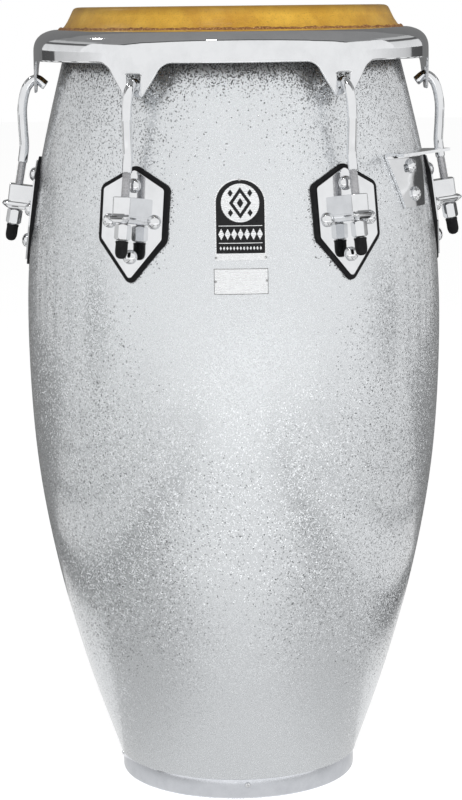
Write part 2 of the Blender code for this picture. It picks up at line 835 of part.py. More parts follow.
def build_station(number, azimuth, meshes, materials):
    """One tuning station: pad, side plate with claw, bolts, hook, nut and cap."""
    station = bpy.data.objects.new(f"station_{number}", None)
    bpy.context.scene.collection.objects.link(station)
    station.rotation_euler = (0.0, 0.0, math.radians(azimuth))
    on_pad = (0.0, -PAD_FACE_RADIUS, PAD_FACE_Z)
    on_rod = (0.0, -SEAT_RADIUS, SEAT_Z)
    pieces = (
        ("gasket", "rubber", on_pad, PAD_TILT),
        ("side_plate", "chrome", on_pad, PAD_TILT),
        ("tuning_hook", "chrome", on_rod, ROD_TILT),
        ("tuning_nut", "chrome", on_rod, ROD_TILT),
        ("rod_cap", "rubber", on_rod, ROD_TILT),
    )
    for name, surface, location, tilt in pieces:
        add_object(f"{name}_{number}", meshes[name], materials[surface], station, location, tilt)
    plate = lean(PAD_FACE_RADIUS, PAD_FACE_Z, PAD_TILT)
    for name, sideways, up in PLATE_BOLTS:
        seat = plate @ Vector((sideways, -PLATE_FACE - GAP, up))
        add_object(
            f"plate_bolt_{number}_{name}", meshes["plate_bolt"], materials["chrome"], station,
            seat, PAD_TILT,
        )


def main():
    clear_scene()
    materials = {
        "chrome": finish("chrome", (0.86, 0.87, 0.88), 0.08, 1.0),
        "rubber": finish("black rubber", (0.015, 0.015, 0.016), 0.55, 0.0),
        "lacquer": finish("silver sparkle lacquer", (0.62, 0.64, 0.67), 0.22, 0.55),
        "skin": finish("natural skin", (0.70, 0.52, 0.27), 0.50, 0.0),
        "steel": finish("plain steel", (0.45, 0.45, 0.46), 0.40, 1.0),
    }
    build_shell(materials["lacquer"])
    build_base_ring(materials["chrome"])
    build_head(materials["skin"])
    build_flesh_hoop(materials["steel"])
    build_rim(materials["chrome"])
    build_bracket(materials["chrome"])
    meshes = {
        "gasket": pad_mesh(),
        "side_plate": side_plate_mesh(),
        "tuning_hook": hook_curve(),
        "tuning_nut": nut_mesh(),
        "rod_cap": cap_mesh(),
        "plate_bolt": bolt_mesh(),
    }
    for number, azimuth in enumerate(STATION_ANGLES, start=1):
        build_station(number, azimuth, meshes, materials)


main()
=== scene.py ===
# %% [markdown]
# # A conga drum, dressed
# The drum is a barrel of glass fibre under a silver sparkle lacquer, with a skin head held by
# a chrome rim. Six hooks pull the rim down against plates bolted to the barrel. The packed
# CAD model comes in first as a fixed frame: every finer piece made here stands where one of
# its pieces stands, and rides on the same moving body. Nothing in the frame is moved.
# %% Load the frame
import math

import bmesh
import bpy
from mathutils import Matrix, Vector, noise


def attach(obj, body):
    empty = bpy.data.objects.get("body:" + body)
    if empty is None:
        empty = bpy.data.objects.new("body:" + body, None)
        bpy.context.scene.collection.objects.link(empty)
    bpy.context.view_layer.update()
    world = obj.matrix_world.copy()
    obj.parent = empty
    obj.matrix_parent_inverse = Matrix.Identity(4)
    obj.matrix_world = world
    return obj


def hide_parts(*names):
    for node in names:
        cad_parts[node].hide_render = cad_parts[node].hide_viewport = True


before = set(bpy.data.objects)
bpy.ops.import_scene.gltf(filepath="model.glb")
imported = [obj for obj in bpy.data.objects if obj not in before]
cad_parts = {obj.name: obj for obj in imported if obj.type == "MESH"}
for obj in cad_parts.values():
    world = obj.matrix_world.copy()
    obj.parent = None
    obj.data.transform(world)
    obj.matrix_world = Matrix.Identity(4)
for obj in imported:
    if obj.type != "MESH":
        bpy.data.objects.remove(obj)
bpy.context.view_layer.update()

# %% [markdown]
# ## The camera
# The photograph was taken from a little over two metres away with a long lens, from about
# the height of the rim, looking slightly down. The drum was turned by two degrees, so here
# the camera stands two degrees round the drum instead, and the drum keeps its own frame.
# %% Place the camera
VIEW_TURN = math.radians(-2.2)
LOOK_DOWN = 0.1662
ROLL = -0.0108
STAND = (-0.0037, -2.2960, 0.7600)
FOCAL_PIXELS = 2337.6
PHOTO_HEIGHT = 800


def camera_place():
    """World matrix of the camera: where it stands and how it looks at the drum."""
    forward = Vector((0, math.cos(LOOK_DOWN), -math.sin(LOOK_DOWN)))
    right = Vector((1, 0, 0))
    up = right.cross(forward)
    tilted_right = math.cos(ROLL) * right + math.sin(ROLL) * up
    tilted_up = math.cos(ROLL) * up - math.sin(ROLL) * right
    axes = Matrix((tilted_right, tilted_up, -forward)).transposed().to_4x4()
    return Matrix.Rotation(VIEW_TURN, 4, "Z") @ Matrix.Translation(STAND) @ axes


scene = bpy.context.scene
scene.view_settings.view_transform = "Standard"
lens = bpy.data.cameras.new("camera")
lens.sensor_width = 36.0
lens.lens = FOCAL_PIXELS / PHOTO_HEIGHT * lens.sensor_width
camera = bpy.data.objects.new("camera", lens)
scene.collection.objects.link(camera)
camera.matrix_world = camera_place()
scene.camera = camera
print("camera stands at", [round(value, 3) for value in camera.matrix_world.translation])

# %% [markdown]
# ## Places on the drum
# Every fitting sits at an angle round the drum and leans with the barrel's side. Two small
# matrices say that once: `turned_to` swings a piece round the drum, and `leaning` puts it
# at a radius and height and tips its top inwards. A piece is drawn facing -Y, flat and easy
# to measure, and is moved to its place in its mesh, so that its object stays at the origin.
# %% Name the places
STATIONS = {1: 30, 2: 90, 3: 150, 4: 210, 5: 270, 6: 330}
OUTWARD = Matrix.Rotation(math.radians(90), 4, "X")


def turned_to(azimuth):
    return Matrix.Rotation(math.radians(azimuth), 4, "Z")


def leaning(radius, height, tilt):
    return Matrix.Translation((0, -radius, height)) @ Matrix.Rotation(-tilt, 4, "X")


SEAT_HEIGHT = 0.568
PLATE_PLACE = leaning(0.1957, SEAT_HEIGHT, math.radians(7.8))
ROD_PLACE = leaning(0.2130, SEAT_HEIGHT, math.radians(10.2))
print("tuning stations:", len(STATIONS))

# %% [markdown]
# ## Finishes, and how their maths is written
# A finish is a small network of shader nodes. Wiring each node by name hides the recipe, so
# one class wraps a node's output and lets arithmetic be typed as it is on paper. `Finish`
# owns one material: its `node` method adds any node, and `ramp` and `tint` are the two sums
# that nearly every finish needs.
# %% Write the socket wrapper
class Wire:
    """One output of a node. Plus, minus, times and comparisons add Math nodes."""

    def __init__(self, finish, socket):
        self.finish = finish
        self.socket = socket

    def sum(self, operation, first, second=0.0):
        inputs = {0: first, 1: second}
        return self.finish.node("ShaderNodeMath", {"operation": operation}, inputs)

    def __add__(self, other):
        return self.sum("ADD", self, other)

    def __radd__(self, other):
        return self.sum("ADD", other, self)

    def __sub__(self, other):
        return self.sum("SUBTRACT", self, other)

    def __rsub__(self, other):
        return self.sum("SUBTRACT", other, self)

    def __mul__(self, other):
        return self.sum("MULTIPLY", self, other)

    def __rmul__(self, other):
        return self.sum("MULTIPLY", other, self)

    def __gt__(self, other):
        return self.sum("GREATER_THAN", self, other)

    def __lt__(self, other):
        return self.sum("LESS_THAN", self, other)


# %% Write the finish maker
class Finish:
    """One material with its Principled shader."""

    def __init__(self, name, **constants):
        self.material = bpy.data.materials.new(name)
        self.material.use_nodes = True
        self.tree = self.material.node_tree
        self.shader = self.tree.nodes["Principled BSDF"]
        for socket, value in constants.items():
            self.shader.inputs[socket.replace("_", " ")].default_value = value
        print("finish:", name)

    def node(self, kind, settings=None, inputs=None, output=0):
        """Add a node: its settings first, then a value or a wire for each socket."""
        made = self.tree.nodes.new(kind)
        for key, value in (settings or {}).items():
            if key == "stops":
                self.set_stops(made.color_ramp.elements, value)
            else:
                setattr(made, key, value)
        for key, value in (inputs or {}).items():
            if isinstance(value, Wire):
                self.tree.links.new(value.socket, made.inputs[key])
            else:
                made.inputs[key].default_value = value
        return Wire(self, made.outputs[output])

    def set_stops(self, elements, stops):
        while len(elements) < len(stops):
            elements.new(0.5)
        for element, (position, colour) in zip(elements, stops):
            element.position = position
            element.color = colour

    def feed(self, socket, wire):
        self.tree.links.new(wire.socket, self.shader.inputs[socket])

    def place(self, scale=(1, 1, 1), turn=(0, 0, 0)):
        """The object's own coordinates in metres, stretched and turned."""
        spot = self.node("ShaderNodeTexCoord", output=3)
        sizes = {"Vector": spot, "Scale": scale, "Rotation": turn}
        return self.node("ShaderNodeMapping", None, sizes)

    def cloud(self, size, detail=3.0, roughness=0.5, place=None, output=0):
        """Smooth noise with blotches of about the given size in metres."""
        inputs = {
            "Vector": place or self.place(),
            "Scale": 1 / size,
            "Detail": detail,
            "Roughness": roughness,
        }
        return self.node("ShaderNodeTexNoise", None, inputs, output)

    def ramp(self, wire, low, high, start=0.0, end=1.0):
        """Carry a value from the range low..high to start..end, and hold it there."""
        inputs = {0: wire, 1: low, 2: high, 3: start, 4: end}
        return self.node("ShaderNodeMapRange", None, inputs)

    def tint(self, share, first, second):
        """Blend two colours by a share."""
        inputs = {0: share, 6: first, 7: second}
        return self.node("ShaderNodeMix", {"data_type": "RGBA"}, inputs, 2)

    def vector(self, operation, first, second=(0, 0, 0)):
        inputs = {0: first, 1: second}
        return self.node("ShaderNodeVectorMath", {"operation": operation}, inputs)

    def bump(self, height, distance, strength=1.0):
        """Raise the surface by height times distance, in metres."""
        inputs = {"Height": height, "Distance": distance, "Strength": strength}
        self.feed("Normal", self.node("ShaderNodeBump", None, inputs))


def colour(red, green, blue):
    return (red, green, blue, 1.0)


# %% [markdown]
# ## Silver sparkle lacquer
# The barrel's colour coat is full of metal flakes, each lying at its own angle under a thick
# clear coat. Flakes that face the light shine pale, and the others look like dark pepper,
# which is why the specks crowd at the sides of the barrel. A flat grey with printed dots
# would show them everywhere alike. Instead each cell of a Voronoi pattern, under a
# millimetre wide, tips the surface its own way, and the clear coat stays smooth above.
# %% Mix the sparkle lacquer
FLAKE = 0.00105

lacquer = Finish(
    "silver sparkle lacquer",
    Metallic=0.80, IOR=1.5, Coat_Weight=0.60, Coat_Roughness=0.08, Coat_IOR=1.45,
)
flakes = {"Vector": lacquer.place(), "Scale": 1 / FLAKE}
flake = lacquer.node("ShaderNodeTexVoronoi", None, flakes, 1)
pick = lacquer.node("ShaderNodeSeparateColor", None, {0: flake}, 2)
patches = lacquer.cloud(0.030, detail=4.0)
# A loose flake tips further and shines harder than one that lies flat
loose = pick > lacquer.ramp(patches, 0.35, 0.65, 0.66, 0.46)
shade = lacquer.ramp(lacquer.cloud(0.25, detail=2.0), 0.3, 0.7)
lacquer.feed("Base Color", lacquer.tint(shade, colour(0.70, 0.72, 0.74),
                                        colour(0.73, 0.75, 0.77)))
lacquer.feed("Roughness", 0.30 - loose * 0.21)
tip = lacquer.vector("SUBTRACT", flake, (0.5, 0.5, 0.5))
swing = {0: tip, "Scale": loose * 0.52 + 0.04}
lean_by = lacquer.node("ShaderNodeVectorMath", {"operation": "SCALE"}, swing)
smooth_normal = lacquer.node("ShaderNodeNewGeometry", output=1)
tipped = lacquer.vector("NORMALIZE", lacquer.vector("ADD", smooth_normal, lean_by))
lacquer.feed("Normal", tipped)
print("flake size:", FLAKE * 1000, "mm")

# %% [markdown]
# ## Raw glass fibre
# Inside, the barrel is the bare laminate: amber grey resin over chopped strands, glossy in
# patches where resin pooled. Stretched noise at two angles gives the strands, and a slow
# cloud the pools.
# %% Mix the raw laminate
laminate = Finish("raw glass fibre laminate", IOR=1.5, Coat_Weight=0.0)
strands = laminate.cloud(0.0016, place=laminate.place((1, 1, 0.15), (0.5, 0.2, 0.0)))
crossed = laminate.cloud(0.0016, place=laminate.place((0.15, 0.15, 1), (0.0, 0.4, 0.6)))
weave = strands * 0.5 + crossed * 0.5
pools = laminate.cloud(0.06)
resin = laminate.tint(pools, colour(0.20, 0.19, 0.16), colour(0.34, 0.32, 0.27))
laminate.feed("Base Color", laminate.tint(laminate.ramp(weave, 0.4, 0.6, 0.0, 0.6), resin,
                                          colour(0.42, 0.41, 0.37)))
laminate.feed("Roughness", laminate.ramp(pools, 0.35, 0.65, 0.35, 0.65))
laminate.bump(weave, 0.0005)

# %% [markdown]
# ## Chrome
# The rim, plates, hooks and nuts are nickel and chrome over polished steel. Chrome has no
# colour pattern: what makes it real is a mirror that isn't quite even. A slow wave from the
# polishing wheel bends the reflections, a haze of fine wipe marks changes the roughness,
# and the haze is a trace darker than the clean metal.
# %% Mix the chrome
def chrome_finish(name, clean, hazy, roughness, wave):
    chrome = Finish(name, Metallic=1.0)
    haze = chrome.cloud(0.018, detail=5.0, roughness=0.6)
    wipes = chrome.cloud(0.0012, place=chrome.place((1, 1, 0.08)))
    worn = chrome.ramp(haze, 0.42, 0.72)
    chrome.feed("Base Color", chrome.tint(worn, clean, hazy))
    chrome.feed("Roughness", worn * 0.05 + wipes * 0.03 + roughness)
    chrome.bump(chrome.cloud(0.022, detail=1.0) + wipes * 0.02, wave)
    return chrome


polished = chrome_finish(
    "polished chrome", colour(0.80, 0.81, 0.825), colour(0.74, 0.75, 0.765), 0.03, 0.00012
)
ring_chrome = chrome_finish(
    "ring chrome", colour(0.74, 0.76, 0.80), colour(0.66, 0.68, 0.72), 0.12, 0.00015
)
cut_thread = chrome_finish(
    "cut thread", colour(0.66, 0.66, 0.67), colour(0.50, 0.50, 0.51), 0.16, 0.00005
)

# %% [markdown]
# ## Plain steel, rubber and skin
# Plain steel has drawn lines along its bars and a duller, warmer grey. The pads and the rod
# caps are black moulded rubber, with a fine matt grain and a little dust. The skin is
# rawhide: amber, mottled, with darker pores and pale stretch marks, browner where it was
# soaked and pulled over the hoop. Its height on the drum drives that change, because every
# drum head is browner at its tuck. Height also places two marks of painted shade: a darker
# brown on the collar's top edge, and near black on the hide under the rim.
# %% Mix the plain steel
steel = Finish("plain drawn steel", Metallic=1.0)
drawn = steel.cloud(0.0009, place=steel.place((1, 1, 0.1)))
stain = steel.cloud(0.012, detail=5.0)
steel.feed("Base Color", steel.tint(stain, colour(0.36, 0.36, 0.37), colour(0.52, 0.51, 0.50)))
steel.feed("Roughness", steel.ramp(drawn, 0.3, 0.7, 0.25, 0.45))
steel.bump(drawn, 0.00004)

# %% Mix the rubber
rubber = Finish("black moulded rubber", IOR=1.5, Specular_IOR_Level=0.14)
grain = rubber.cloud(0.0005, detail=2.0)
dust = rubber.ramp(rubber.cloud(0.010, detail=6.0, roughness=0.65), 0.50, 0.80)
rubber.feed("Base Color", rubber.tint(dust, colour(0.007, 0.007, 0.008),
                                      colour(0.020, 0.020, 0.021)))
rubber.feed("Roughness", rubber.ramp(grain, 0.3, 0.7, 0.42, 0.62) + dust * 0.1)
rubber.bump(grain, 0.00005)

# %% Mix the skin
skin = Finish("amber rawhide", IOR=1.45, Specular_IOR_Level=0.35, Coat_Roughness=0.25)
mottle = skin.cloud(0.028, detail=6.0, roughness=0.6)
pores = skin.cloud(0.0011, detail=2.0)
marks = skin.cloud(0.009, detail=4.0, place=skin.place((1, 1, 0.35)))
depth = skin.node("ShaderNodeSeparateXYZ", None, {0: skin.place()}, 2)
tuck = skin.ramp(depth, 0.7600, 0.7385)
fresh = skin.tint(skin.ramp(mottle, 0.3, 0.7), colour(0.60, 0.305, 0.026),
                  colour(0.90, 0.550, 0.070))
browned = skin.tint(tuck * 0.30 + skin.ramp(marks, 0.5, 0.75, 0.0, 0.25), fresh,
                    colour(0.42, 0.190, 0.035))
# Painted shade: the collar's top edge is painted a darker brown, standing in for the shade that
# falls there
top_painted_shade = skin.tint(skin.ramp(depth, 0.7535, 0.7600, 0.0, 0.60), browned,
                      colour(0.26, 0.135, 0.020))
pored = skin.tint(skin.ramp(pores, 0.56, 0.70, 0.0, 0.40), top_painted_shade, colour(0.24, 0.12, 0.025))
# Painted shade: below 735 mm, under the rim, the hide is painted near black for the shadow it lies
# in
skin.feed("Base Color", skin.tint(skin.ramp(depth, 0.7350, 0.7310), pored,
                                  colour(0.012, 0.008, 0.005)))
skin.feed("Roughness", skin.ramp(mottle, 0.3, 0.7, 0.30, 0.42))
skin.feed("Coat Weight", skin.ramp(marks, 0.3, 0.7, 0.20, 0.06))
skin.bump(pores * 0.4 + marks, 0.0004)

# %% Mix the cut edge of the skin
fringe = Finish("cut rawhide edge", IOR=1.45)
hairs = fringe.cloud(0.0012, detail=4.0)
frayed = fringe.tint(fringe.ramp(hairs, 0.35, 0.60), colour(0.15, 0.055, 0.014),
                     colour(0.42, 0.19, 0.055))
fringe.feed("Base Color", fringe.tint(fringe.ramp(hairs, 0.60, 0.68), frayed,
                                      colour(0.80, 0.52, 0.22)))
fringe.feed("Roughness", fringe.ramp(hairs, 0.3, 0.7, 0.5, 0.75))
fringe.bump(hairs, 0.0006)

# %% Mix the badge's enamel and its bare metal
enamel = Finish("black badge enamel", IOR=1.5, Specular_IOR_Level=0.12, Coat_Weight=0.08)
speck = enamel.cloud(0.0020, detail=5.0)
enamel.feed("Base Color", enamel.tint(speck, colour(0.008, 0.008, 0.009),
                                      colour(0.020, 0.020, 0.021)))
enamel.feed("Roughness", enamel.ramp(speck, 0.3, 0.7, 0.25, 0.40))
badge_metal = Finish("badge metal", Metallic=0.7)
brushed = badge_metal.cloud(0.0010, place=badge_metal.place((0.1, 1, 1)))
badge_metal.feed("Base Color", badge_metal.tint(brushed, colour(0.74, 0.75, 0.76),
                                                colour(0.88, 0.89, 0.90)))
badge_metal.feed("Roughness", badge_metal.ramp(brushed, 0.3, 0.7, 0.22, 0.36))
print("finishes made:", len(bpy.data.materials))

# %% [markdown]
# ## From a drawn shape to a piece
# `settle` merges doubles and points the faces outwards, in that order, because a spin or a
# mirror can leave a shape inside out. `add_piece` makes the mesh, shades it smooth with
# sharp edges kept, gives it its finishes, and tells the frame which body it rides on and
# which CAD nodes it stands for. `at_stations` does so six times, once at each tuning
# station. `cut` is an exact Boolean, `slice_at` a straight cut through a whole mesh.
# %% Write the piece helpers
def settle(bm, distance=0.00001):
    bmesh.ops.remove_doubles(bm, verts=bm.verts, dist=distance)
    bmesh.ops.recalc_face_normals(bm, faces=bm.faces)
    return bm


def mesh_of(bm, name, sharp=40):
    mesh = bpy.data.meshes.new(name)
    bm.to_mesh(mesh)
    bm.free()
    mesh.shade_smooth()
    mesh.set_sharp_from_angle(angle=math.radians(sharp))
    return mesh


def add_piece(name, bm, finishes, body, slot=None, nodes=(), sharp=40, weighted=False):
    """Turn a bmesh into a piece that rides on a body and stands for CAD nodes."""
    mesh = mesh_of(bm, name, sharp)
    for finish in finishes:
        mesh.materials.append(finish.material)
    piece = bpy.data.objects.new(name, mesh)
    scene.collection.objects.link(piece)
    if weighted:
        piece.modifiers.new("even flats", "WEIGHTED_NORMAL").keep_sharp = True
    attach(piece, body)
    if nodes:
        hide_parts(*nodes)
    print(name, len(mesh.polygons), "faces")
    return piece


def gather(target, piece, place=Matrix()):
    """Add a copy of one bmesh to another one, moved to its place."""
    spare = bpy.data.meshes.new("spare")
    piece.to_mesh(spare)
    spare.transform(place)
    target.from_mesh(spare)
    bpy.data.meshes.remove(spare)


def at_stations(shape, place, name, finishes, body, slot, nodes, **options):
    """Copy a shape to all six stations. A # stands for the station's number."""
    for number, azimuth in STATIONS.items():
        bm = bmesh.new()
        gather(bm, shape, turned_to(azimuth) @ place)
        piece_name, rides_on, *stands_for = [
            text.replace("#", str(number)) for text in (name, body, *nodes)
        ]
        add_piece(piece_name, bm, finishes, rides_on, slot, stands_for, **options)
    shape.free()


def slice_at(bm, point, direction, **options):
    """Cut a whole mesh along a plane."""
    whole = bm.verts[:] + bm.edges[:] + bm.faces[:]
    return bmesh.ops.bisect_plane(
        bm, geom=whole, plane_co=point, plane_no=direction, **options
    )


def add_bar(bm, sides, radius, length, place=Matrix()):
    """Add a capped bar along Z with any number of sides, about its middle."""
    bmesh.ops.create_cone(
        bm, cap_ends=True, segments=sides, radius1=radius, radius2=radius, depth=length,
        matrix=place,
    )


def cut(bm, tool, operation="DIFFERENCE"):
    """Combine a solid with a tool by an exact Boolean, and return the result."""
    work = bpy.data.objects.new("work", mesh_of(settle(bm), "work"))
    cutter = bpy.data.objects.new("cutter", mesh_of(settle(tool), "cutter"))
    for item in (work, cutter):
        scene.collection.objects.link(item)
    step = work.modifiers.new("cut", "BOOLEAN")
    step.operation = operation
    step.solver = "EXACT"
    step.object = cutter
    graph = bpy.context.evaluated_depsgraph_get()
    result = bmesh.new()
    result.from_object(work, graph)
    for item in (work, cutter):
        bpy.data.objects.remove(item)
    return result


# %% [markdown]
# ## Shapes turned on a lathe
# The barrel, base ring, head, hoop, bolts and caps are all round, so each is drawn as half a
# section and spun. `smooth_path` runs a soft curve through the few points that matter, and
# `lathe` spins a line about Z. The spin closes on itself with use_merge, and the seam and
# the poles are merged before the normals are set.
# %% Write the lathe
def smooth_path(points, steps):
    """A Catmull-Rom curve through the given points."""
    path = [Vector(point) for point in points]
    path = [2 * path[0] - path[1]] + path + [2 * path[-1] - path[-2]]
    curve = []
    for before, start, end, after in zip(path, path[1:], path[2:], path[3:]):
        for step in range(steps):
            t = step / steps
            curve.append(0.5 * (
                2 * start
                + (end - before) * t
                + (2 * before - 5 * start + 4 * end - after) * t ** 2
                + (3 * start - before - 3 * end + after) * t ** 3
            ))
    curve.append(path[-2])
    return curve


def arc(centre, radius, start, end, steps):
    """Points of an arc in a section, angles in degrees."""
    return [
        (
            centre[0] + radius * math.cos(math.radians(start + (end - start) * step / steps)),
            centre[1] + radius * math.sin(math.radians(start + (end - start) * step / steps)),
        )
        for step in range(steps + 1)
    ]


def lathe(section, steps=96, closed=True):
    """Spin a section of (radius, height) points about Z."""
    bm = bmesh.new()
    corners = [bm.verts.new((radius, 0.0, height)) for radius, height in section]
    pairs = list(zip(corners, corners[1:] + corners[:1] if closed else corners[1:]))
    lines = [bm.edges.new(pair) for pair in pairs if max(pair[0].co.x, pair[1].co.x) > 0]
    bmesh.ops.spin(
        bm, geom=corners + lines, cent=(0, 0, 0), axis=(0, 0, 1), angle=2 * math.pi,
        steps=steps, use_merge=True,
    )
    return settle(bm)


# %% [markdown]
# ## The barrel
# The barrel is moulded in one piece: narrow at the foot, widest a little over half way up,
# and drawn in again to the bearing edge that carries the skin. Eight measured points give
# its outside, the wall is 8 mm thick, and the top is rounded over because a sharp edge
# would cut the skin. The inside faces get the raw laminate as a second finish.
# %% Turn the barrel
HEIGHT = 0.762
SKIN = 0.0022
WALL = 0.008
BARREL = smooth_path((
    (0.1193, 0.0212), (0.1530, 0.1200), (0.1795, 0.2220), (0.1965, 0.3260),
    (0.2025, 0.4400), (0.1990, 0.5350), (0.1850, 0.6230), (0.1542, 0.7500),
), 8)


def barrel_radius(height):
    """Outside radius of the barrel at a height."""
    for low, high in zip(BARREL, BARREL[1:]):
        if height <= high.y:
            share = (height - low.y) / (high.y - low.y)
            return low.x + (high.x - low.x) * share
    return BARREL[-1].x


under_skin = HEIGHT - SKIN - 0.0003
outside = [tuple(point) for point in BARREL]
bearing_edge = [
    (0.1530, under_skin - 0.0046), (0.1519, under_skin - 0.0021), (0.1508, under_skin - 0.0008),
    (0.1492, under_skin), (0.1476, under_skin - 0.0006), (0.1461, under_skin - 0.0022),
]
inside = [(radius - WALL, height) for radius, height in reversed(outside[1:-1])]
foot = [(0.1104, 0.0212), (0.1068, 0.0028), (0.1148, 0.0028), (0.1148, 0.0206)]
barrel = lathe(outside + bearing_edge + inside + foot, steps=144)
for face in barrel.faces:
    middle = face.calc_center_median()
    outward = face.normal.x * middle.x + face.normal.y * middle.y
    if outward < 0 or middle.z < 0.0205:
        face.material_index = 1
add_piece("lacquered_barrel", barrel, [lacquer, laminate], "drum", "silver_lacquer", ["shell"])
print("widest radius:", round(max(point.x for point in BARREL), 4))

# %% [markdown]
# ## The base ring
# A chromed channel is pushed up over the foot and held by four screws through its side. Its
# lower corners are rolled, so the section has small arcs there. The slotted screw is a
# turned button: two cuts across its head, and the strip between them pushed in.
# %% Turn the base ring
RING = 0.1168
channel = [
    *arc((RING - 0.0030, 0.0030), 0.0030, 270, 360, 5),
    (RING, 0.0196), *arc((RING - 0.0008, 0.0196), 0.0008, 0, 180, 4)[1:],
    (RING - 0.0017, 0.0025), (0.1065, 0.0025),
    *arc((0.1056, 0.0062), 0.0008, 0, 180, 4),
    *arc((0.1066, 0.0018), 0.0018, 180, 270, 3),
]
add_piece("base_channel", lathe(channel, 144), [ring_chrome], "drum", "chrome", ["base_ring"])

# %% Fit its four screws
def push(bm, faces, by=(0, 0, 0)):
    """Extrude faces and move what was extruded. Returns the new points and faces."""
    made = bmesh.ops.extrude_face_region(bm, geom=faces)["geom"]
    verts = [item for item in made if isinstance(item, bmesh.types.BMVert)]
    caps = [item for item in made if isinstance(item, bmesh.types.BMFace)]
    bmesh.ops.translate(bm, verts=verts, vec=by)
    return verts, caps


SLOT = 0.00045
screw = lathe([
    (0.0, 0.0019), (0.0010, 0.0018), (0.0020, 0.0014), (0.0028, 0.0006), (0.0031, -0.0002),
    (0.0028, -0.0006), (0.0, -0.0006),
], 24)
for side in (-SLOT, SLOT):
    slice_at(screw, (side, 0, 0), (1, 0, 0))
slot = [face for face in screw.faces if abs(face.calc_center_median().x) < SLOT]
bmesh.ops.recalc_face_normals(screw, faces=screw.faces)
upper = [face for face in slot if face.normal.z > 0.1]
push(screw, upper, (0, 0, -0.0008))
settle(screw)
screws = bmesh.new()
for azimuth, twist in ((2, 20), (92, 65), (182, -30), (272, 100)):
    spin_in = Matrix.Rotation(math.radians(twist), 4, "Z")
    gather(screws, screw, turned_to(azimuth) @ leaning(RING, 0.0145, 0.0) @ OUTWARD @ spin_in)
screw.free()
add_piece("ring_screws", screws, [polished], "drum", "chrome")

# %% [markdown]
# ## The skin and its hoop
# A soaked hide is laid over the barrel, folded round a steel hoop and left to dry. It shows
# as a flat, a steep collar and a ragged cut edge that stands up inside the rim. The section
# follows the hide round the hoop. A lathe alone would make the cut edge perfect, so slow
# and quick noise lifts and pushes it, more the nearer a point is to the cut.
# %% Turn the hide
HOOP_RADIUS = 0.1755
HOOP_Z = 0.7299
HOOP_WIRE = 0.0040
inner_turn = HOOP_WIRE + 0.0003
hide_section = [
    (0.0, HEIGHT), (0.06, HEIGHT), (0.12, HEIGHT), (0.1450, HEIGHT), (0.1482, HEIGHT - 0.0002),
    (0.1503, HEIGHT - 0.0007), (0.1521, HEIGHT - 0.0019), (0.1532, HEIGHT - 0.0036),
    (0.1544, 0.7558), (0.1560, 0.7525), (0.1579, 0.7488), (0.1609, 0.7443), (0.1648, 0.7400),
    (0.1680, 0.7364), (0.1703, 0.7327),
    *arc((HOOP_RADIUS, HOOP_Z), inner_turn, 180, 440, 20),
    *arc((HOOP_RADIUS, HOOP_Z), inner_turn + SKIN * 0.9, 440, 180, 20),
    (0.1664, 0.7354), (0.1629, 0.7389), (0.1590, 0.7432), (0.1560, 0.7479), (0.1543, 0.7514),
    (0.1530, 0.7548), (0.1516, 0.7578), (0.1493, HEIGHT - SKIN), (0.12, HEIGHT - SKIN),
    (0.0, HEIGHT - SKIN),
]
add_piece("hide_head", lathe(hide_section, 192), [skin], "drum", "skin", ["head"], sharp=60)

# %% Fray its cut edge
CUT_BASE = 0.7376
cut_edge = lathe([
    (0.1740, 0.7346), (0.1722, 0.7350), (0.1703, 0.7362), (0.1684, 0.7380), (0.1668, 0.7396),
    (0.1655, 0.7411), (0.1648, 0.7422), (0.1651, 0.7428), (0.1658, 0.7424), (0.1667, 0.7413),
    (0.1679, 0.7398), (0.1692, 0.7381), (0.1709, 0.7369), (0.1735, 0.7363),
], 480)
for vert in cut_edge.verts:
    share = min(1.0, max(0.0, (vert.co.z - CUT_BASE) / 0.0040))
    spot = Vector((vert.co.x, vert.co.y, 0.0))
    vert.co.z += share * (0.0010 * noise.noise(spot * 130) + 0.0007 * noise.noise(spot * 430))
add_piece("hide_cut_edge", cut_edge, [fringe], "drum", "skin", ["head"], sharp=60)

# %% Bend the flesh hoop
hoop = lathe(arc((HOOP_RADIUS, HOOP_Z), HOOP_WIRE, 0, 337.5, 15), 144)
add_piece("flesh_hoop_wire", hoop, [steel], "drum", "steel", ["flesh_hoop"])

# %% [markdown]
# ## The rim
# The rim is pressed from thick steel: a crown rolled over the hide, a short skirt, and six
# ears with a hole for each hook. Cutting ears and holes with Booleans leaves long thin
# faces, and chrome shows every one of them. So the sheet is a grid: columns fan out down
# each ear, and the hole is a block of faces left out. Half an ear is mapped, mirrored, and
# copied six times. Solidify gives the sheet its thickness, and subdivision rolls its edges.
# %% Lay out half an ear
RIM = 0.1913
SKIRT = RIM + 0.0002
RIM_SHEET = 0.0026
CROWN = (
    (0.16945, 0.74085), (0.1722, 0.74075), (0.1760, 0.7399), (0.1797, 0.73865),
    (0.1830, 0.73705), (0.1862, 0.7346), (0.1888, 0.7315), (0.1905, 0.7278),
    (0.19145, 0.7235), (SKIRT, 0.7175), (SKIRT, 0.7127), (SKIRT, 0.7116),
)
# Height, and how far out the hole's side and the ear's side are there
EAR_ROWS = (
    (0.7116, 0.0084, 0.0345),
    (0.7086, 0.0082, 0.0282),
    (0.7050, 0.0078, 0.0252),
    (0.7017, 0.0074, 0.0232),
    (0.6985, 0.0070, 0.0212),
    (0.6925, 0.0064, 0.0170),
    (0.6869, 0.0058, 0.0128),
    (0.6835, 0.0050, 0.0106),
    (0.6806, 0.0038, 0.0080),
)
HOLE_ROWS = (3, 4, 5)
EAR_SHARES = (0.0, 0.5, 1.0, 1.45, 1.92, 2.0)
SKIRT_ANGLES = (12.5, 15.5, 18.5, 21.5, 24.5, 27.3, 30.0)


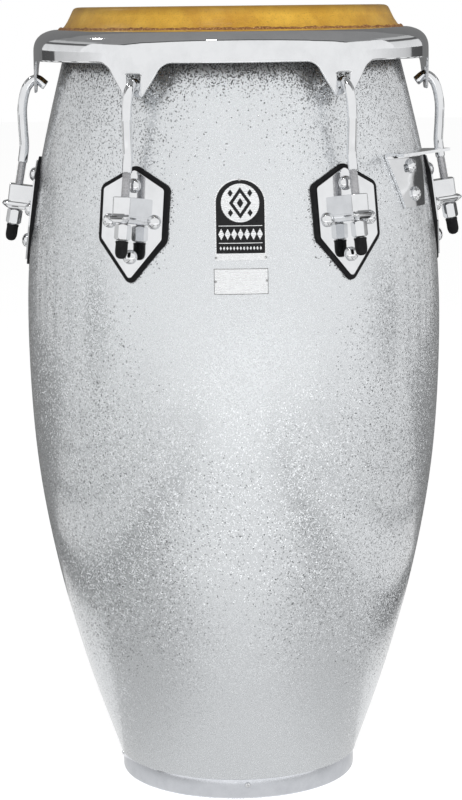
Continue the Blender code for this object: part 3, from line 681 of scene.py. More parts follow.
def ear_reach(row, share):
    """Distance from the ear's middle: 0 middle, 1 hole's side, 2 ear's side."""
    _, hole_side, ear_side = EAR_ROWS[row]
    if share <= 1:
        return hole_side * share
    return hole_side + (ear_side - hole_side) * (share - 1)


rows = len(CROWN) + len(EAR_ROWS) - 1
columns = len(EAR_SHARES) + len(SKIRT_ANGLES)
print("half an ear:", columns, "columns and", rows, "rows")

# %% Map the grid on to the rim
rim = bmesh.new()
bmesh.ops.create_grid(rim, x_segments=columns - 1, y_segments=rows - 1, size=0.5)
left_out = []
for face in rim.faces:
    middle = face.calc_center_median()
    column = int((middle.x + 0.5) * (columns - 1))
    row = int((0.5 - middle.y) * (rows - 1))
    ear_row = row - len(CROWN) + 1
    beyond_ear = column >= len(EAR_SHARES) - 1 and ear_row >= 0
    if beyond_ear or (column < 2 and ear_row in HOLE_ROWS):
        left_out.append(face)
for vert in rim.verts:
    column = round((vert.co.x + 0.5) * (columns - 1))
    row = round((0.5 - vert.co.y) * (rows - 1))
    ear_row = max(0, row - len(CROWN) + 1)
    radius, height = CROWN[min(row, len(CROWN) - 1)]
    if row >= len(CROWN):
        height = EAR_ROWS[ear_row][0]
    if column < len(EAR_SHARES):
        angle = ear_reach(ear_row, EAR_SHARES[column]) / RIM
    else:
        angle = math.radians(SKIRT_ANGLES[column - len(EAR_SHARES)])
    vert.co = (radius * math.sin(angle), -radius * math.cos(angle), height)
bmesh.ops.delete(rim, geom=left_out, context="FACES")
half = rim.verts[:] + rim.edges[:] + rim.faces[:]
bmesh.ops.mirror(rim, geom=half, matrix=Matrix(), merge_dist=0.00001, axis="X")
sixth = rim.copy()
for azimuth in (60, 120, 180, 240, 300):
    gather(rim, sixth, turned_to(azimuth))
rim.transform(turned_to(30))
sixth.free()
settle(rim, 0.00005)
top_face = max(rim.faces, key=lambda face: face.calc_center_median().z)
if top_face.normal.z < 0:
    bmesh.ops.reverse_faces(rim, faces=rim.faces)
rim_piece = add_piece("pressed_rim", rim, [polished], "rim", "chrome", ["rim"], sharp=180)
thick = rim_piece.modifiers.new("sheet", "SOLIDIFY")
thick.thickness = RIM_SHEET
thick.offset = -1
soft = rim_piece.modifiers.new("rolled", "SUBSURF")
soft.levels = 2
soft.render_levels = 2

# %% [markdown]
# ## Rubber pads
# Each side plate stands on a black rubber pad that is flat outside and cut to the barrel
# inside, so its sides are deeper where the barrel falls away. The face is one six sided
# polygon whose corners are bevelled by the radius of the mould. It is pushed back, sliced
# by planes so that it can bend, and every point of its back is walked in to the barrel.
# %% Draw the pad's outline
# Sideways and height of each corner, and how far the rounding runs along its sides
PAD = (
    (0.0, -0.0580, 0.0080), (0.0355, -0.0160, 0.0034), (0.0355, 0.0337, 0.0046),
    (0.0, 0.0530, 0.0042), (-0.0355, 0.0337, 0.0046), (-0.0355, -0.0160, 0.0034),
)


def six_sided(inset, depth):
    """The pad's outline moved in by an inset, at a depth, with its corners rounded."""
    bm = bmesh.new()
    face = bm.faces.new([bm.verts.new((x, depth, z)) for x, z, _ in PAD])
    bm.normal_update()
    if inset:
        ring = bmesh.ops.inset_region(
            bm, faces=[face], thickness=inset, use_even_offset=True, use_boundary=True,
        )
        bmesh.ops.delete(bm, geom=ring["faces"], context="FACES")
        loose = [vert for vert in bm.verts if not vert.link_faces]
        bmesh.ops.delete(bm, geom=loose, context="VERTS")
    for x, z, run in PAD:
        corner = min(bm.verts, key=lambda vert: (vert.co - Vector((x, depth, z))).length)
        bmesh.ops.bevel(
            bm, geom=[corner], offset=run * (1 - inset / 0.0075), affect="VERTICES",
            segments=5, profile=0.5, material=-1,
        )
    return bm


def soften(bm, chosen, width, segments=3):
    """Bevel the edges that a test picks out."""
    edges = [edge for edge in bm.edges if chosen(edge)]
    bmesh.ops.bevel(
        bm, geom=edges, offset=width, affect="EDGES", segments=segments, profile=0.5,
        material=-1,
    )


def edge_at(edge, axis, value):
    """True if both ends of an edge lie at a value of one axis."""
    return all(abs(vert.co[axis] - value) < 0.00001 for vert in edge.verts)


print("corners of the pad:", len(PAD))

# %% Mould the rubber pad
pad = six_sided(0.0, 0.0)
push(pad, pad.faces[:], (0, 0.012, 0))
settle(pad)
soften(pad, lambda edge: edge_at(edge, 1, 0.0) and len(edge.link_faces) == 2, 0.0007)
for share in range(-5, 6):
    slice_at(pad, (share * 0.0062, 0, 0), (1, 0, 0))
    slice_at(pad, (0, 0, share * 0.0092), (0, 0, 1))
for vert in pad.verts:
    if vert.co.y > 0.0119:
        for _ in range(12):
            spot = PLATE_PLACE @ vert.co
            vert.co.y += math.hypot(spot.x, spot.y) - barrel_radius(spot.z) - 0.00005
settle(pad)
at_stations(pad, PLATE_PLACE, "rubber_pad_#", [rubber], "drum", "black_rubber", ["gasket_#"])

# %% [markdown]
# ## Side plates with their claws
# On the pad lies a polished plate. A strap bent to a box is welded on it: this claw takes
# the pull of the hook, and its foot is drawn out into a lip like the rim of a dish, which
# the nut bears against. The claw starts as a block with its two front edges bevelled into
# bends. Its bottom face is then extruded ring by ring, out to the lip and in again, and the
# top face is inset and pushed down for the pocket that the rod runs through.
# %% Press the plate
SHEET = 0.0015
FACE = SHEET + 0.0003
plate = six_sided(0.0040, -0.0003)
push(plate, plate.faces[:], (0, -SHEET, 0))
settle(plate)
soften(plate, lambda edge: edge_at(edge, 1, -FACE), 0.0006)
print("plate:", len(plate.faces), "faces")

# %% Bend the claw and draw out its lip
CLAW_HALF = 0.0090
CLAW_DEPTH = 0.0232
CLAW_TOP = 0.0225
LIP_START = 0.0072
# Height of each ring below the claw, how far it stands out sideways, and forwards
LIP_RINGS = (
    (0.0064, 0.0001, 0.0003), (0.0058, 0.0004, 0.0010), (0.0053, 0.0010, 0.0023),
    (0.0048, 0.0017, 0.0038), (0.0041, 0.0021, 0.0048), (0.0032, 0.0022, 0.0052),
    (0.0023, 0.0019, 0.0049), (0.0015, 0.0012, 0.0040), (0.0004, 0.0000, 0.0024),
    (-0.0007, -0.0011, 0.0008), (-0.0013, -0.0019, -0.0002),
)
claw = bmesh.new()
block = Matrix.Translation((0, -FACE - CLAW_DEPTH / 2 + 0.0009, (CLAW_TOP + LIP_START) / 2))
bmesh.ops.create_cube(claw, size=1.0, matrix=block @ Matrix.Diagonal(
    (CLAW_HALF * 2, CLAW_DEPTH + 0.0018, CLAW_TOP - LIP_START, 1)))
front = -FACE - CLAW_DEPTH
soften(
    claw,
    lambda edge: edge_at(edge, 1, front) and abs(edge.verts[0].co.z - edge.verts[1].co.z) > 0.01,
    0.0040, 8,
)
ring_face = min(claw.faces, key=lambda face: face.calc_center_median().z)
wide_now, deep_now = CLAW_HALF, CLAW_DEPTH
for height, sideways, forwards in LIP_RINGS:
    wide, deep = CLAW_HALF + sideways, CLAW_DEPTH + forwards
    ring, caps = push(claw, [ring_face])
    for vert in ring:
        vert.co.x *= wide / wide_now
        vert.co.y = -FACE + (vert.co.y + FACE) * deep / deep_now
        vert.co.z = height
    ring_face = caps[0]
    wide_now, deep_now = wide, deep
soften(claw, lambda edge: edge_at(edge, 2, CLAW_TOP), 0.0009, 3)
settle(claw)
mouth = max(claw.faces, key=lambda face: face.calc_center_median().z + face.calc_area())
bmesh.ops.inset_region(claw, faces=[mouth], thickness=0.0020, use_even_offset=True)
push(claw, [mouth], (0, 0, 0.0017 - CLAW_TOP))
settle(claw)
rod_hole = bmesh.new()
add_bar(rod_hole, 32, 0.0050, 0.020, PLATE_PLACE.inverted() @ ROD_PLACE)
claw = cut(claw, rod_hole)
gather(plate, claw)
claw.free()
at_stations(plate, PLATE_PLACE, "claw_plate_#", [polished], "drum", "chrome",
            ["side_plate_#"], weighted=True)

# %% [markdown]
# ## Dome bolts
# Four bolts hold each plate through pad and barrel. Outside they show only a smooth dome,
# inside a washer and a hexagon nut. Dome, shank and washer are turned, and the nut is a six
# sided cone with its rims bevelled. One bolt is copied to its four places, as one piece.
# %% Turn a dome bolt
BOLT_PLACES = {
    "top": (0.0, 0.0338), "right": (0.0233, 0.0014), "left": (-0.0233, 0.0014),
    "bottom": (0.0, -0.0310),
}


def dome_bolt(radius, grip):
    """A dome bolt with its washer and nut, z = 0 under the dome, +Z outwards."""
    end = -grip - 0.0048
    dome = [(radius * math.cos(t), 0.0005 + 0.0047 * math.sin(t))
            for t in (math.radians(9 * step) for step in range(10))]
    bolt = lathe([
        (0.0, 0.0052), *reversed(dome), (radius * 0.97, 0.0), (0.0028, 0.0), (0.0028, end + 0.0003),
        (0.0, end),
    ], 32)
    washer = lathe([(0.0028, -grip), (0.0062, -grip), (0.0062, -grip - 0.0008),
                    (0.0028, -grip - 0.0008)], 24)
    nut = bmesh.new()
    add_bar(nut, 6, 0.0054, 0.0038, Matrix.Translation((0, 0, -grip - 0.0027)))
    soften(nut, lambda edge: edge_at(edge, 2, edge.verts[0].co.z), 0.0004, 2)
    for part in (washer, nut):
        gather(bolt, part)
        part.free()
    return bolt


bolt = dome_bolt(0.0067, 0.0140)
four_bolts = bmesh.new()
for sideways, up in BOLT_PLACES.values():
    gather(four_bolts, bolt, Matrix.Translation((sideways, -FACE - 0.0002, up)) @ OUTWARD)
bolt.free()
at_stations(four_bolts, PLATE_PLACE, "dome_bolts_#", [polished], "drum", "chrome",
            [f"plate_bolt_#_{name}" for name in BOLT_PLACES])

# %% [markdown]
# ## Hooks, nuts and rod caps
# A hook is one steel rod: bent over at the top to grip the ear, drawn in and out again to
# clear the plate, and cut with a thread at its lower end. The bent part is a curve with a
# round bevel, the simplest tube there is. The thread is a V spun upwards as it turns, by
# one pitch each turn, so each turn's end meets the next turn's start. Planes trim its ends.
# %% Bend the rod
ROD = 0.00465
HOOK_PATH = (
    (0.1808, 0.6880), (0.1897, 0.6937), (0.1988, 0.6862), (0.2034, 0.6680), (0.2034, 0.6480),
    (0.2026, 0.6300), (0.2046, 0.6145),
)
into_rod = ROD_PLACE.inverted()
bend = [into_rod @ Vector((0, -spot.x, spot.y)) for spot in smooth_path(HOOK_PATH, 10)]
shoulder = bend[-1].z
bend[-1] = Vector((0, 0, shoulder))
tube = bpy.data.curves.new("tube", "CURVE")
tube.dimensions = "3D"
tube.bevel_depth = ROD
tube.bevel_resolution = 6
tube.use_fill_caps = True
line = tube.splines.new("POLY")
line.points.add(len(bend) + 1)
ends = (bend[0] + (bend[0] - bend[1]).normalized() * 0.0006, Vector((0, 0, shoulder - 0.0007)))
for point, spot in zip(line.points, [ends[0]] + bend + [ends[1]]):
    point.co = (*spot, 1.0)
    point.radius = 1.0
line.points[0].radius = 0.84
line.points[-1].radius = 0.86
bent = bpy.data.objects.new("bent", tube)
scene.collection.objects.link(bent)
bpy.context.view_layer.update()
solid = bpy.data.meshes.new_from_object(bent.evaluated_get(bpy.context.evaluated_depsgraph_get()))
bpy.data.objects.remove(bent)
hook = bmesh.new()
hook.from_mesh(solid)
settle(hook)
print("threaded from", round(shoulder * 1000, 1), "mm above the nut's seat")

# %% Cut the thread
PITCH = 0.00125
CREST = 0.0041
ROOT = 0.0034
THREAD_END = -0.0275
TURN_STEPS = 20
thread_length = shoulder - THREAD_END
turns = math.ceil(thread_length / PITCH) + 2
thread = bmesh.new()
start = THREAD_END - PITCH
vee = [thread.verts.new((radius, 0, start + PITCH * share))
       for radius, share in ((ROOT, 0.0), (CREST, 0.4), (CREST, 0.55), (ROOT, 1.0))]
cuts = [thread.edges.new(pair) for pair in zip(vee, vee[1:])]
bmesh.ops.spin(
    thread, geom=vee + cuts, cent=(0, 0, 0), axis=(0, 0, 1), angle=2 * math.pi * turns,
    dvec=(0, 0, PITCH / TURN_STEPS), steps=TURN_STEPS * turns,
)
bmesh.ops.remove_doubles(thread, verts=thread.verts, dist=0.00001)
for height, direction in ((THREAD_END, -1), (shoulder - 0.0005, 1)):
    slice_at(thread, (0, 0, height), (0, 0, direction), clear_outer=True)
bmesh.ops.holes_fill(thread, edges=[edge for edge in thread.edges if edge.is_boundary])
settle(thread)
for face in thread.faces:
    face.material_index = 1
gather(hook, thread)
thread.free()
at_stations(hook, ROD_PLACE, "bent_hook_#", [polished, cut_thread], "hook_#", "chrome",
            ["tuning_hook_#"])

# %% [markdown]
# The nut is a hexagon whose ends are turned off at the corners, which leaves the curved
# edges that every real nut shows. That is what an intersection of the two shapes gives. The
# cap is a rubber thimble with a beaded mouth.
# %% Turn the nuts and caps
nut = bmesh.new()
add_bar(nut, 6, 0.00751, 0.0142, Matrix.Translation((0, 0, -0.0071)))
turned_off = lathe([
    (0.0, 0.0), (0.0064, 0.0), (0.0076, -0.0010), (0.0076, -0.0122), (0.0066, -0.0136),
    (0.0058, -0.0142), (0.0, -0.0142),
], 48)
nut = cut(nut, turned_off, "INTERSECT")
bore = bmesh.new()
add_bar(bore, 32, 0.0043, 0.03)
nut = cut(nut, bore)
cap = lathe([
    (0.0044, -0.0151), (0.0047, -0.0149), (0.0055, -0.0149), (0.0059, -0.0153),
    (0.0059, -0.0166), (0.0056, -0.0171), (0.0057, -0.0240), (0.0055, -0.0262),
    (0.0048, -0.0284), (0.0036, -0.0300), (0.0019, -0.0309), (0.0, -0.0310), (0.0, -0.0294),
    (0.0044, -0.0294),
], 32)
at_stations(nut, ROD_PLACE, "hex_nut_#", [polished], "nut_#", "chrome", ["tuning_nut_#"],
            weighted=True)
at_stations(cap, ROD_PLACE, "end_cap_#", [rubber], "drum", "black_rubber", ["rod_cap_#"])

# %% [markdown]
# ## The shelf bracket
# A curved plate between two stations carries a level shelf for a cowbell or a holder. It is
# one piece of sheet: a trapezium bent to the barrel, with its top edge folded outwards. The
# sheet is a grid whose rows run up the plate, round the fold and out along the shelf. The
# sheet gets its thickness first, and its slot and small holes are then cut through it.
# %% Map the bracket's sheet
BRACKET = turned_to(59.3)
BRACKET_SHEET = 0.0028
OFF_BARREL = 0.0031
FOLD_HALF = 0.0411
SHELF_EDGE = 0.2080
# Height, how far the surface stands off the barrel, half width, and share of the way out
BRACKET_ROWS = (
    (0.5739, OFF_BARREL, 0.0215, 0.0), (0.5860, OFF_BARREL, 0.0260, 0.0),
    (0.5970, OFF_BARREL, 0.0301, 0.0), (0.6063, OFF_BARREL, 0.0336, 0.0),
    (0.6137, OFF_BARREL, 0.0364, 0.0), (0.6185, OFF_BARREL, 0.0382, 0.0),
    (0.6208, 0.0033, 0.0391, 0.0), (0.6224, 0.0040, 0.0397, 0.0), (0.6231, 0.0052, 0.0403, 0.0),
    (0.6232, 0.0066, 0.0411, 0.0), (0.6232, 0.0066, 0.0470, 0.5), (0.6232, 0.0066, 0.0540, 1.0),
)
BRACKET_COLUMNS = (-1.0, -0.8, -0.6, -0.4, -0.2, 0.0, 0.2, 0.4, 0.6, 0.8, 1.0)
sheet = bmesh.new()
bmesh.ops.create_grid(
    sheet, x_segments=len(BRACKET_COLUMNS) - 1, y_segments=len(BRACKET_ROWS) - 1, size=0.5,
)
for vert in sheet.verts:
    column = round((vert.co.x + 0.5) * (len(BRACKET_COLUMNS) - 1))
    height, stand_off, half_width, out = BRACKET_ROWS[
        round((vert.co.y + 0.5) * (len(BRACKET_ROWS) - 1))]
    x = BRACKET_COLUMNS[column] * half_width
    reach = barrel_radius(height) + stand_off
    depth = math.sqrt(reach ** 2 - min(abs(x), FOLD_HALF) ** 2)
    vert.co = (x, -(depth + (SHELF_EDGE - depth) * out), height)
settle(sheet)
lowest = min(sheet.faces, key=lambda face: face.calc_center_median().z)
if lowest.normal.y > 0:
    bmesh.ops.reverse_faces(sheet, faces=sheet.faces)
bmesh.ops.solidify(sheet, geom=sheet.faces[:], thickness=BRACKET_SHEET)
settle(sheet)
print("bracket sheet:", [round(value, 4) for value in (
    min(vert.co.y for vert in sheet.verts), max(vert.co.z for vert in sheet.verts))])

# %% Cut its slot and holes, and bolt it on
openings = bmesh.new()
slot_tool = Matrix.Translation((0, -0.19, 0.6100)) @ Matrix.Diagonal((0.0274, 0.06, 0.0074, 1))
bmesh.ops.create_cube(openings, size=1.0, matrix=slot_tool)
soften(openings, lambda edge: abs(edge.verts[0].co.y - edge.verts[1].co.y) > 0.01, 0.0012)
for side in (-1, 1):
    add_bar(openings, 24, 0.0020, 0.02, Matrix.Translation((side * 0.046, -0.200, 0.626)))
sheet = cut(sheet, openings)
for height, tilt in ((0.6115, 11.2), (0.5857, 9.4)):
    bolt = dome_bolt(0.0070, 0.0125)
    seat = leaning(barrel_radius(height) + OFF_BARREL, height, math.radians(tilt)) @ OUTWARD
    gather(sheet, bolt, seat)
    bolt.free()
sheet.transform(BRACKET)
bracket = add_piece("shelf_bracket", sheet, [polished], "drum", "chrome",
                    ["accessory_bracket"], sharp=35)
edges = bracket.modifiers.new("soft edges", "BEVEL")
edges.width = 0.0004
edges.segments = 2
edges.limit_method = "ANGLE"
edges.angle_limit = math.radians(50)
bracket.modifiers.new("even flats", "WEIGHTED_NORMAL").keep_sharp = True

# %% [markdown]
# ## The badges
# An arched badge and a small plate are pinned to the front. On this drum they carry nobody's
# name: the arch shows plain lozenges on a disc over two rows of smaller ones, in silver and
# black, and the small plate is bare inside its grey line. Each layer is drawn flat from
# circles and squares, sliced so that it can bend, raised a fraction of a millimetre, and
# wrapped round the barrel.
# %% Wrap flat shapes round the barrel
SHIFT = -0.0010
METAL, INK = 0, 1
# How far off the barrel a layer's back and front stand
GROUND = (0.00005, 0.0007)
FIELD = (0.0006, 0.0008)
RAISED = (0.0007, 0.0010)
INLAID = (0.0009, 0.00115)


def layer(target, drawing, depths, finish_index):
    """Raise a flat drawing between two depths, and wrap it round the barrel's front."""
    back, front = depths
    push(drawing, drawing.faces[:], (0, -1, 0))
    settle(drawing, 0.0000001)
    for step in range(-6, 7):
        slice_at(drawing, (step * 0.0041, 0, 0), (1, 0, 0))
    for step in range(16):
        slice_at(drawing, (0, 0, 0.505 + step * 0.007), (0, 0, 1))
    for face in drawing.faces:
        face.material_index = finish_index
    for vert in drawing.verts:
        stand_off = front if vert.co.y < -0.5 else back
        reach = barrel_radius(vert.co.z) + stand_off
        angle = (vert.co.x + SHIFT) / barrel_radius(vert.co.z)
        vert.co = (reach * math.sin(angle), -reach * math.cos(angle), vert.co.z)
    settle(drawing, 0.0000001)
    gather(target, drawing)
    drawing.free()


def upright(bm):
    """Stand a flat drawing of X and Y up as X and Z."""
    bmesh.ops.rotate(bm, verts=bm.verts, matrix=Matrix.Rotation(math.radians(90), 3, "X"))
    return bm


def arch(half, shoulder, top, bottom):
    """An arched field: half a circle over a square."""
    bm = bmesh.new()
    bmesh.ops.create_circle(bm, cap_ends=True, segments=64, radius=half)
    bmesh.ops.scale(bm, verts=bm.verts, vec=(1, (top - shoulder) / half, 1))
    lower = slice_at(bm, (0, 0, 0), (0, -1, 0), clear_outer=True)
    base = [item for item in lower["geom_cut"] if isinstance(item, bmesh.types.BMEdge)]
    down = bmesh.ops.extrude_edge_only(bm, edges=base)["geom"]
    corners = [item for item in down if isinstance(item, bmesh.types.BMVert)]
    bmesh.ops.translate(bm, verts=corners, vec=(0, bottom - shoulder, 0))
    bmesh.ops.translate(bm, verts=bm.verts, vec=(0, shoulder, 0))
    return upright(bm)


def lozenge(x, z, half_width, half_height, hollow=0.0, sides=4):
    """A lozenge or a disc, with an open middle if asked."""
    bm = bmesh.new()
    bmesh.ops.create_circle(bm, cap_ends=True, segments=sides, radius=1.0)
    bmesh.ops.scale(bm, verts=bm.verts, vec=(half_width, half_height, 1))
    if hollow:
        bm.normal_update()
        middle = bm.faces[:]
        bmesh.ops.inset_region(
            bm, faces=middle, thickness=hollow, use_even_offset=True, use_boundary=True,
        )
        bmesh.ops.delete(bm, geom=middle, context="FACES")
    bmesh.ops.translate(bm, verts=bm.verts, vec=(x, z, 0))
    return upright(bm)


def band(low, high, half):
    """A level band between two heights."""
    bm = bmesh.new()
    bmesh.ops.create_grid(bm, x_segments=1, y_segments=1, size=0.5)
    bmesh.ops.scale(bm, verts=bm.verts, vec=(half * 2, high - low, 1))
    bmesh.ops.translate(bm, verts=bm.verts, vec=(0, (low + high) / 2, 0))
    return upright(bm)


# %% Make the arched badge
DISC = 0.5868
CORNER = 0.0088
badge = bmesh.new()
layer(badge, arch(0.0231, 0.5872, 0.6086, 0.5356), GROUND, METAL)
layer(badge, arch(0.0219, 0.5872, 0.6074, 0.5419), FIELD, INK)
layer(badge, lozenge(0, DISC, 0.0172, 0.0172, 0.0, 48), RAISED, METAL)
layer(badge, lozenge(0, DISC, 0.0100, 0.0140, 0.0028), INLAID, INK)
layer(badge, lozenge(0, DISC, 0.0030, 0.0046), INLAID, INK)
for side in (-1, 1):
    for up in (-1, 1):
        small = lozenge(side * CORNER, DISC + up * CORNER, 0.0024, 0.0034)
        layer(badge, small, INLAID, INK)
layer(badge, band(0.5662, 0.5668, 0.0196), RAISED, METAL)
for place in range(-3, 4):
    layer(badge, lozenge(place * 0.0058, 0.5590, 0.0026, 0.0050), RAISED, METAL)
layer(badge, band(0.5508, 0.5514, 0.0196), RAISED, METAL)
for place in range(-6, 7):
    layer(badge, lozenge(place * 0.0030, 0.5465, 0.0010, 0.0018), RAISED, METAL)
add_piece("arched_badge", badge, [badge_metal, enamel], "drum", sharp=25)

# %% Make the small plate and the pins
PLATE_HALF = 0.0247
small_plate = bmesh.new()
layer(small_plate, band(0.5049, 0.5284, PLATE_HALF), (0.00005, 0.0006), METAL)
frame_line = band(0.5051, 0.5282, PLATE_HALF - 0.0002)
frame_line.normal_update()
middle = frame_line.faces[:]
bmesh.ops.inset_region(
    frame_line, faces=middle, thickness=0.00045, use_even_offset=True, use_boundary=True,
)
bmesh.ops.delete(frame_line, geom=middle, context="FACES")
layer(small_plate, frame_line, (0.0005, 0.00062), INK)
add_piece("small_plate", small_plate, [badge_metal, enamel], "drum", sharp=25)

pin = lathe([(0.0, 0.0008), (0.0006, 0.0007), (0.0010, 0.0003), (0.0011, 0.0), (0.0, -0.001)], 16)
pins = bmesh.new()
for x, height in ((-0.0004, 0.6072), (-0.0224, 0.5380), (0.0224, 0.5380), (-0.0231, 0.5167),
                  (0.0231, 0.5172)):
    angle = math.degrees((x + SHIFT) / barrel_radius(height))
    gather(pins, pin, turned_to(angle) @ leaning(barrel_radius(height) + 0.0009, height, 0.1)
           @ OUTWARD)
pin.free()
add_piece("badge_pins", pins, [steel], "drum", "steel")

# %% [markdown]
# ## The studio
# The drum stands on a pale floor before a white ground. Chrome is only as good as what it
# reflects, so cards hang round the drum. They show in reflections alone, and take no light
# from it. A tipped flake is seen only where it mirrors something dark beside something
# light, so the low cards and the floor card carry narrow dark stripes: they bring out the
# specks. Higher up the rim would show stripes as a zebra, so one level dark band draws its
# crown there. Two small, strong cards give it white glints, and grey cards behind the drum
# darken its outline. Camera, glossy and transmission rays see the world as plain white.
# %% Lay the floor
def seen_directly(tree):
    """A socket that is 1 for camera, glossy and transmission rays, else 0."""
    path = tree.nodes.new("ShaderNodeLightPath")
    either = tree.nodes.new("ShaderNodeMath")
    either.operation = "MAXIMUM"
    tree.links.new(path.outputs["Is Camera Ray"], either.inputs[0])
    mirrored = tree.nodes.new("ShaderNodeMath")
    mirrored.operation = "MAXIMUM"
    tree.links.new(path.outputs["Is Glossy Ray"], mirrored.inputs[0])
    tree.links.new(path.outputs["Is Transmission Ray"], mirrored.inputs[1])
    tree.links.new(mirrored.outputs[0], either.inputs[1])
    return either.outputs[0]


FLOOR_RADIUS = 14.0
FLOOR_GLOW = 0.60
floor_finish = Finish("pale studio floor", Roughness=0.9, Specular_IOR_Level=0.0)
mist = floor_finish.cloud(0.6, detail=2.0)
floor_finish.feed("Base Color", floor_finish.tint(mist, colour(0.82, 0.82, 0.82),
                                                  colour(0.84, 0.84, 0.84)))
glow = floor_finish.tree.nodes.new("ShaderNodeEmission")
floor_finish.tree.links.new(seen_directly(floor_finish.tree), glow.inputs["Strength"])
glow.inputs["Color"].default_value = colour(FLOOR_GLOW, FLOOR_GLOW, FLOOR_GLOW)
both = floor_finish.tree.nodes.new("ShaderNodeAddShader")
floor_finish.tree.links.new(floor_finish.shader.outputs[0], both.inputs[0])
floor_finish.tree.links.new(glow.outputs[0], both.inputs[1])
ending = floor_finish.tree.nodes["Material Output"]
floor_finish.tree.links.new(both.outputs[0], ending.inputs["Surface"])
ground = bmesh.new()
bmesh.ops.create_circle(ground, cap_ends=True, segments=64, radius=FLOOR_RADIUS)
floor = bpy.data.objects.new("floor", mesh_of(ground, "floor"))
floor.data.materials.append(floor_finish.material)
scene.collection.objects.link(floor)

# %% Hang the reflection cards
FLAT, UPRIGHT, OVERHEAD = 0, 90, 180
ALONG_X, ALONG_Y, ALONG_Z = 0, 1, 2
SIDE = 2.4
BLACK, WHITE = 0.03, 1.0
GLINT = 50.0


def hang_card(name, spot, size, pitch, swing, axis, levels, strength=1.0):
    """A card seen in reflections alone. Its grey runs along a world axis, in metres."""
    grey = Finish(name, Specular_IOR_Level=0.0, Emission_Strength=strength,
                  Base_Color=colour(0, 0, 0))
    along = grey.node("ShaderNodeSeparateXYZ", None, {0: grey.place()}, axis)
    low, high = levels[0][0], levels[-1][0]
    stops = [((place - low) / (high - low), colour(level, level, level))
             for place, level in levels]
    grey.feed("Emission Color", grey.node("ShaderNodeValToRGB", {"stops": stops},
                                          {0: grey.ramp(along, low, high)}))
    bm = bmesh.new()
    aim = turned_to(swing) @ Matrix.Rotation(math.radians(pitch), 4, "X")
    bmesh.ops.create_grid(
        bm, x_segments=1, y_segments=1, size=0.5,
        matrix=Matrix.Translation(spot) @ aim @ Matrix.Diagonal((*size, 1, 1)),
    )
    card = bpy.data.objects.new(name, mesh_of(bm, name))
    card.data.materials.append(grey.material)
    scene.collection.objects.link(card)
    card.visible_camera = False
    card.visible_diffuse = False
    card.visible_shadow = False
    card.visible_transmission = False


def stripes(start, end, count, dark, light):
    """Levels with a number of narrow dark stripes, each followed by a wide light one."""
    step = (end - start) / count
    levels = []
    for number in range(count):
        place = start + number * step
        levels += [(place + share * step, level)
                   for share, level in ((0.01, dark), (0.32, dark), (0.34, light), (0.99, light))]
    return levels


hang_card("ceiling_card", (0, 0.75, 3.3), (9.0, 4.5), OVERHEAD, 0, ALONG_Y,
          ((-1.50, 0.03), (-1.22, 0.03), (-1.18, 0.30), (3.0, 0.28)))
for side, shift in ((-1, 0.0), (1, 0.30)):
    name = "right" if side > 0 else "left"
    facing = side * 90
    hang_card(f"{name}_low_card", (side * SIDE, 1.0, 0.28), (4.0, 0.54), UPRIGHT, facing,
              ALONG_Y, [(-1.0, WHITE), *stripes(-0.3 + shift, 3.0, 5, BLACK, WHITE)])
    hang_card(f"{name}_waist_card", (side * SIDE, 1.2, 0.70), (3.6, 0.26), UPRIGHT, facing,
              ALONG_Y,
              ((-0.6, 1.0), (0.3 + shift, 0.74), (1.40, 0.60), (1.50, 0.10), (3.0, 0.08)))
    hang_card(f"{name}_card", (side * SIDE, 1.6 + shift / 2, 1.6), (2.8 - shift, 1.5), UPRIGHT,
              facing, ALONG_Z, ((0.85, 0.85), (1.50, 0.80), (1.60, 0.12), (1.84, 0.12),
                                (1.94, 0.60), (2.35, 0.48)))
    hang_card(f"{name}_high_card", (side * SIDE, 1.2, 2.85), (4.0, 0.96), UPRIGHT, facing,
              ALONG_Y, ((-3.0, 0.30), (3.0, 0.28)))
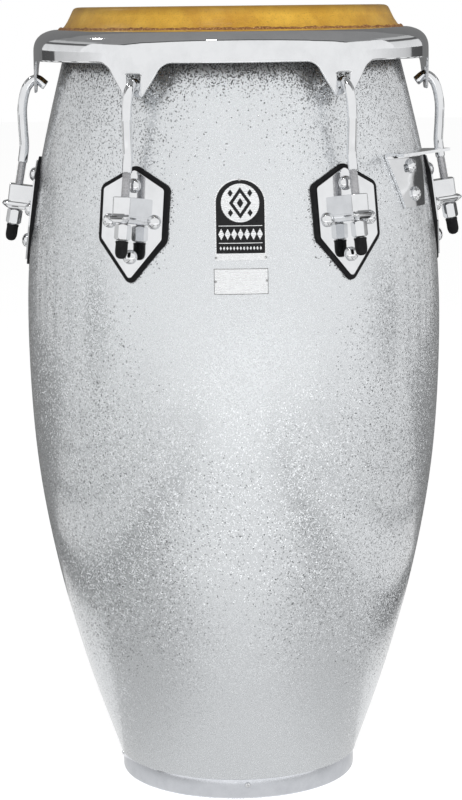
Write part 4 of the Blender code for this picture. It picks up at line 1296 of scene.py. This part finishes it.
for name, spot, size in (("front_glint", (-0.42, -1.10, 3.2), (0.15, 0.22)),
                         ("left_glint", (-2.1, 1.3, 3.2), (0.14, 0.30))):
    hang_card(name, spot, size, OVERHEAD, 0, ALONG_X, ((-3.0, WHITE), (3.0, WHITE)), GLINT)
hang_card("back_card", (0, 3.0, 1.7), (4.8, 3.3), UPRIGHT, 0, ALONG_X,
          ((-2.4, 0.20), (2.4, 0.20)))
hang_card("back_floor_card", (0, 2.2, 0.001), (6.0, 3.2), FLAT, 0, ALONG_X,
          ((-3.0, 0.20), (3.0, 0.20)))
left_floor = [(-place, level) for place, level in reversed(stripes(0.50, 2.4, 5, 0.05, 0.98))]
right_floor = stripes(0.40, 2.4, 6, BLACK, WHITE)[:15]
hang_card("floor_card", (0, -0.5, 0.001), (4.8, 2.2), FLAT, 0, ALONG_X,
          [*left_floor[5:], (-0.42, 0.93), (0.33, 0.93), *right_floor])
hang_card("foot_card", (0, -0.20, 0.002), (1.0, 0.44), FLAT, 0, ALONG_X,
          ((-0.5, 0.44), (-0.20, 0.57), (-0.08, 0.76), (0.08, 0.76), (0.20, 0.62), (0.5, 0.46)))

# %% Light the studio
AIM = Vector((0, 0, 0.5))
AMBIENT = 0.45
LAMPS = {
    "key_softbox": ((-0.6, -2.9, 2.1), 1.2, 30),
    "fill_softbox": ((1.5, -2.6, 1.5), 1.2, 26),
}
for name, (spot, size, power) in LAMPS.items():
    softbox = bpy.data.lights.new(name, "AREA")
    softbox.shape = "SQUARE"
    softbox.size = size
    softbox.energy = power
    lamp = bpy.data.objects.new(name, softbox)
    scene.collection.objects.link(lamp)
    lamp.location = spot
    lamp.rotation_mode = "QUATERNION"
    lamp.rotation_quaternion = (AIM - Vector(spot)).to_track_quat("-Z", "Y")
    lamp.visible_glossy = False

world = bpy.data.worlds.new("studio")
scene.world = world
world.use_nodes = True
sky = world.node_tree
background = sky.nodes["Background"]
background.inputs["Color"].default_value = colour(1, 1, 1)
level = sky.nodes.new("ShaderNodeMapRange")
level.inputs["To Min"].default_value = AMBIENT
level.inputs["To Max"].default_value = 1.0
sky.links.new(seen_directly(sky), level.inputs["Value"])
sky.links.new(level.outputs[0], background.inputs["Strength"])
print("lamps:", len(LAMPS))
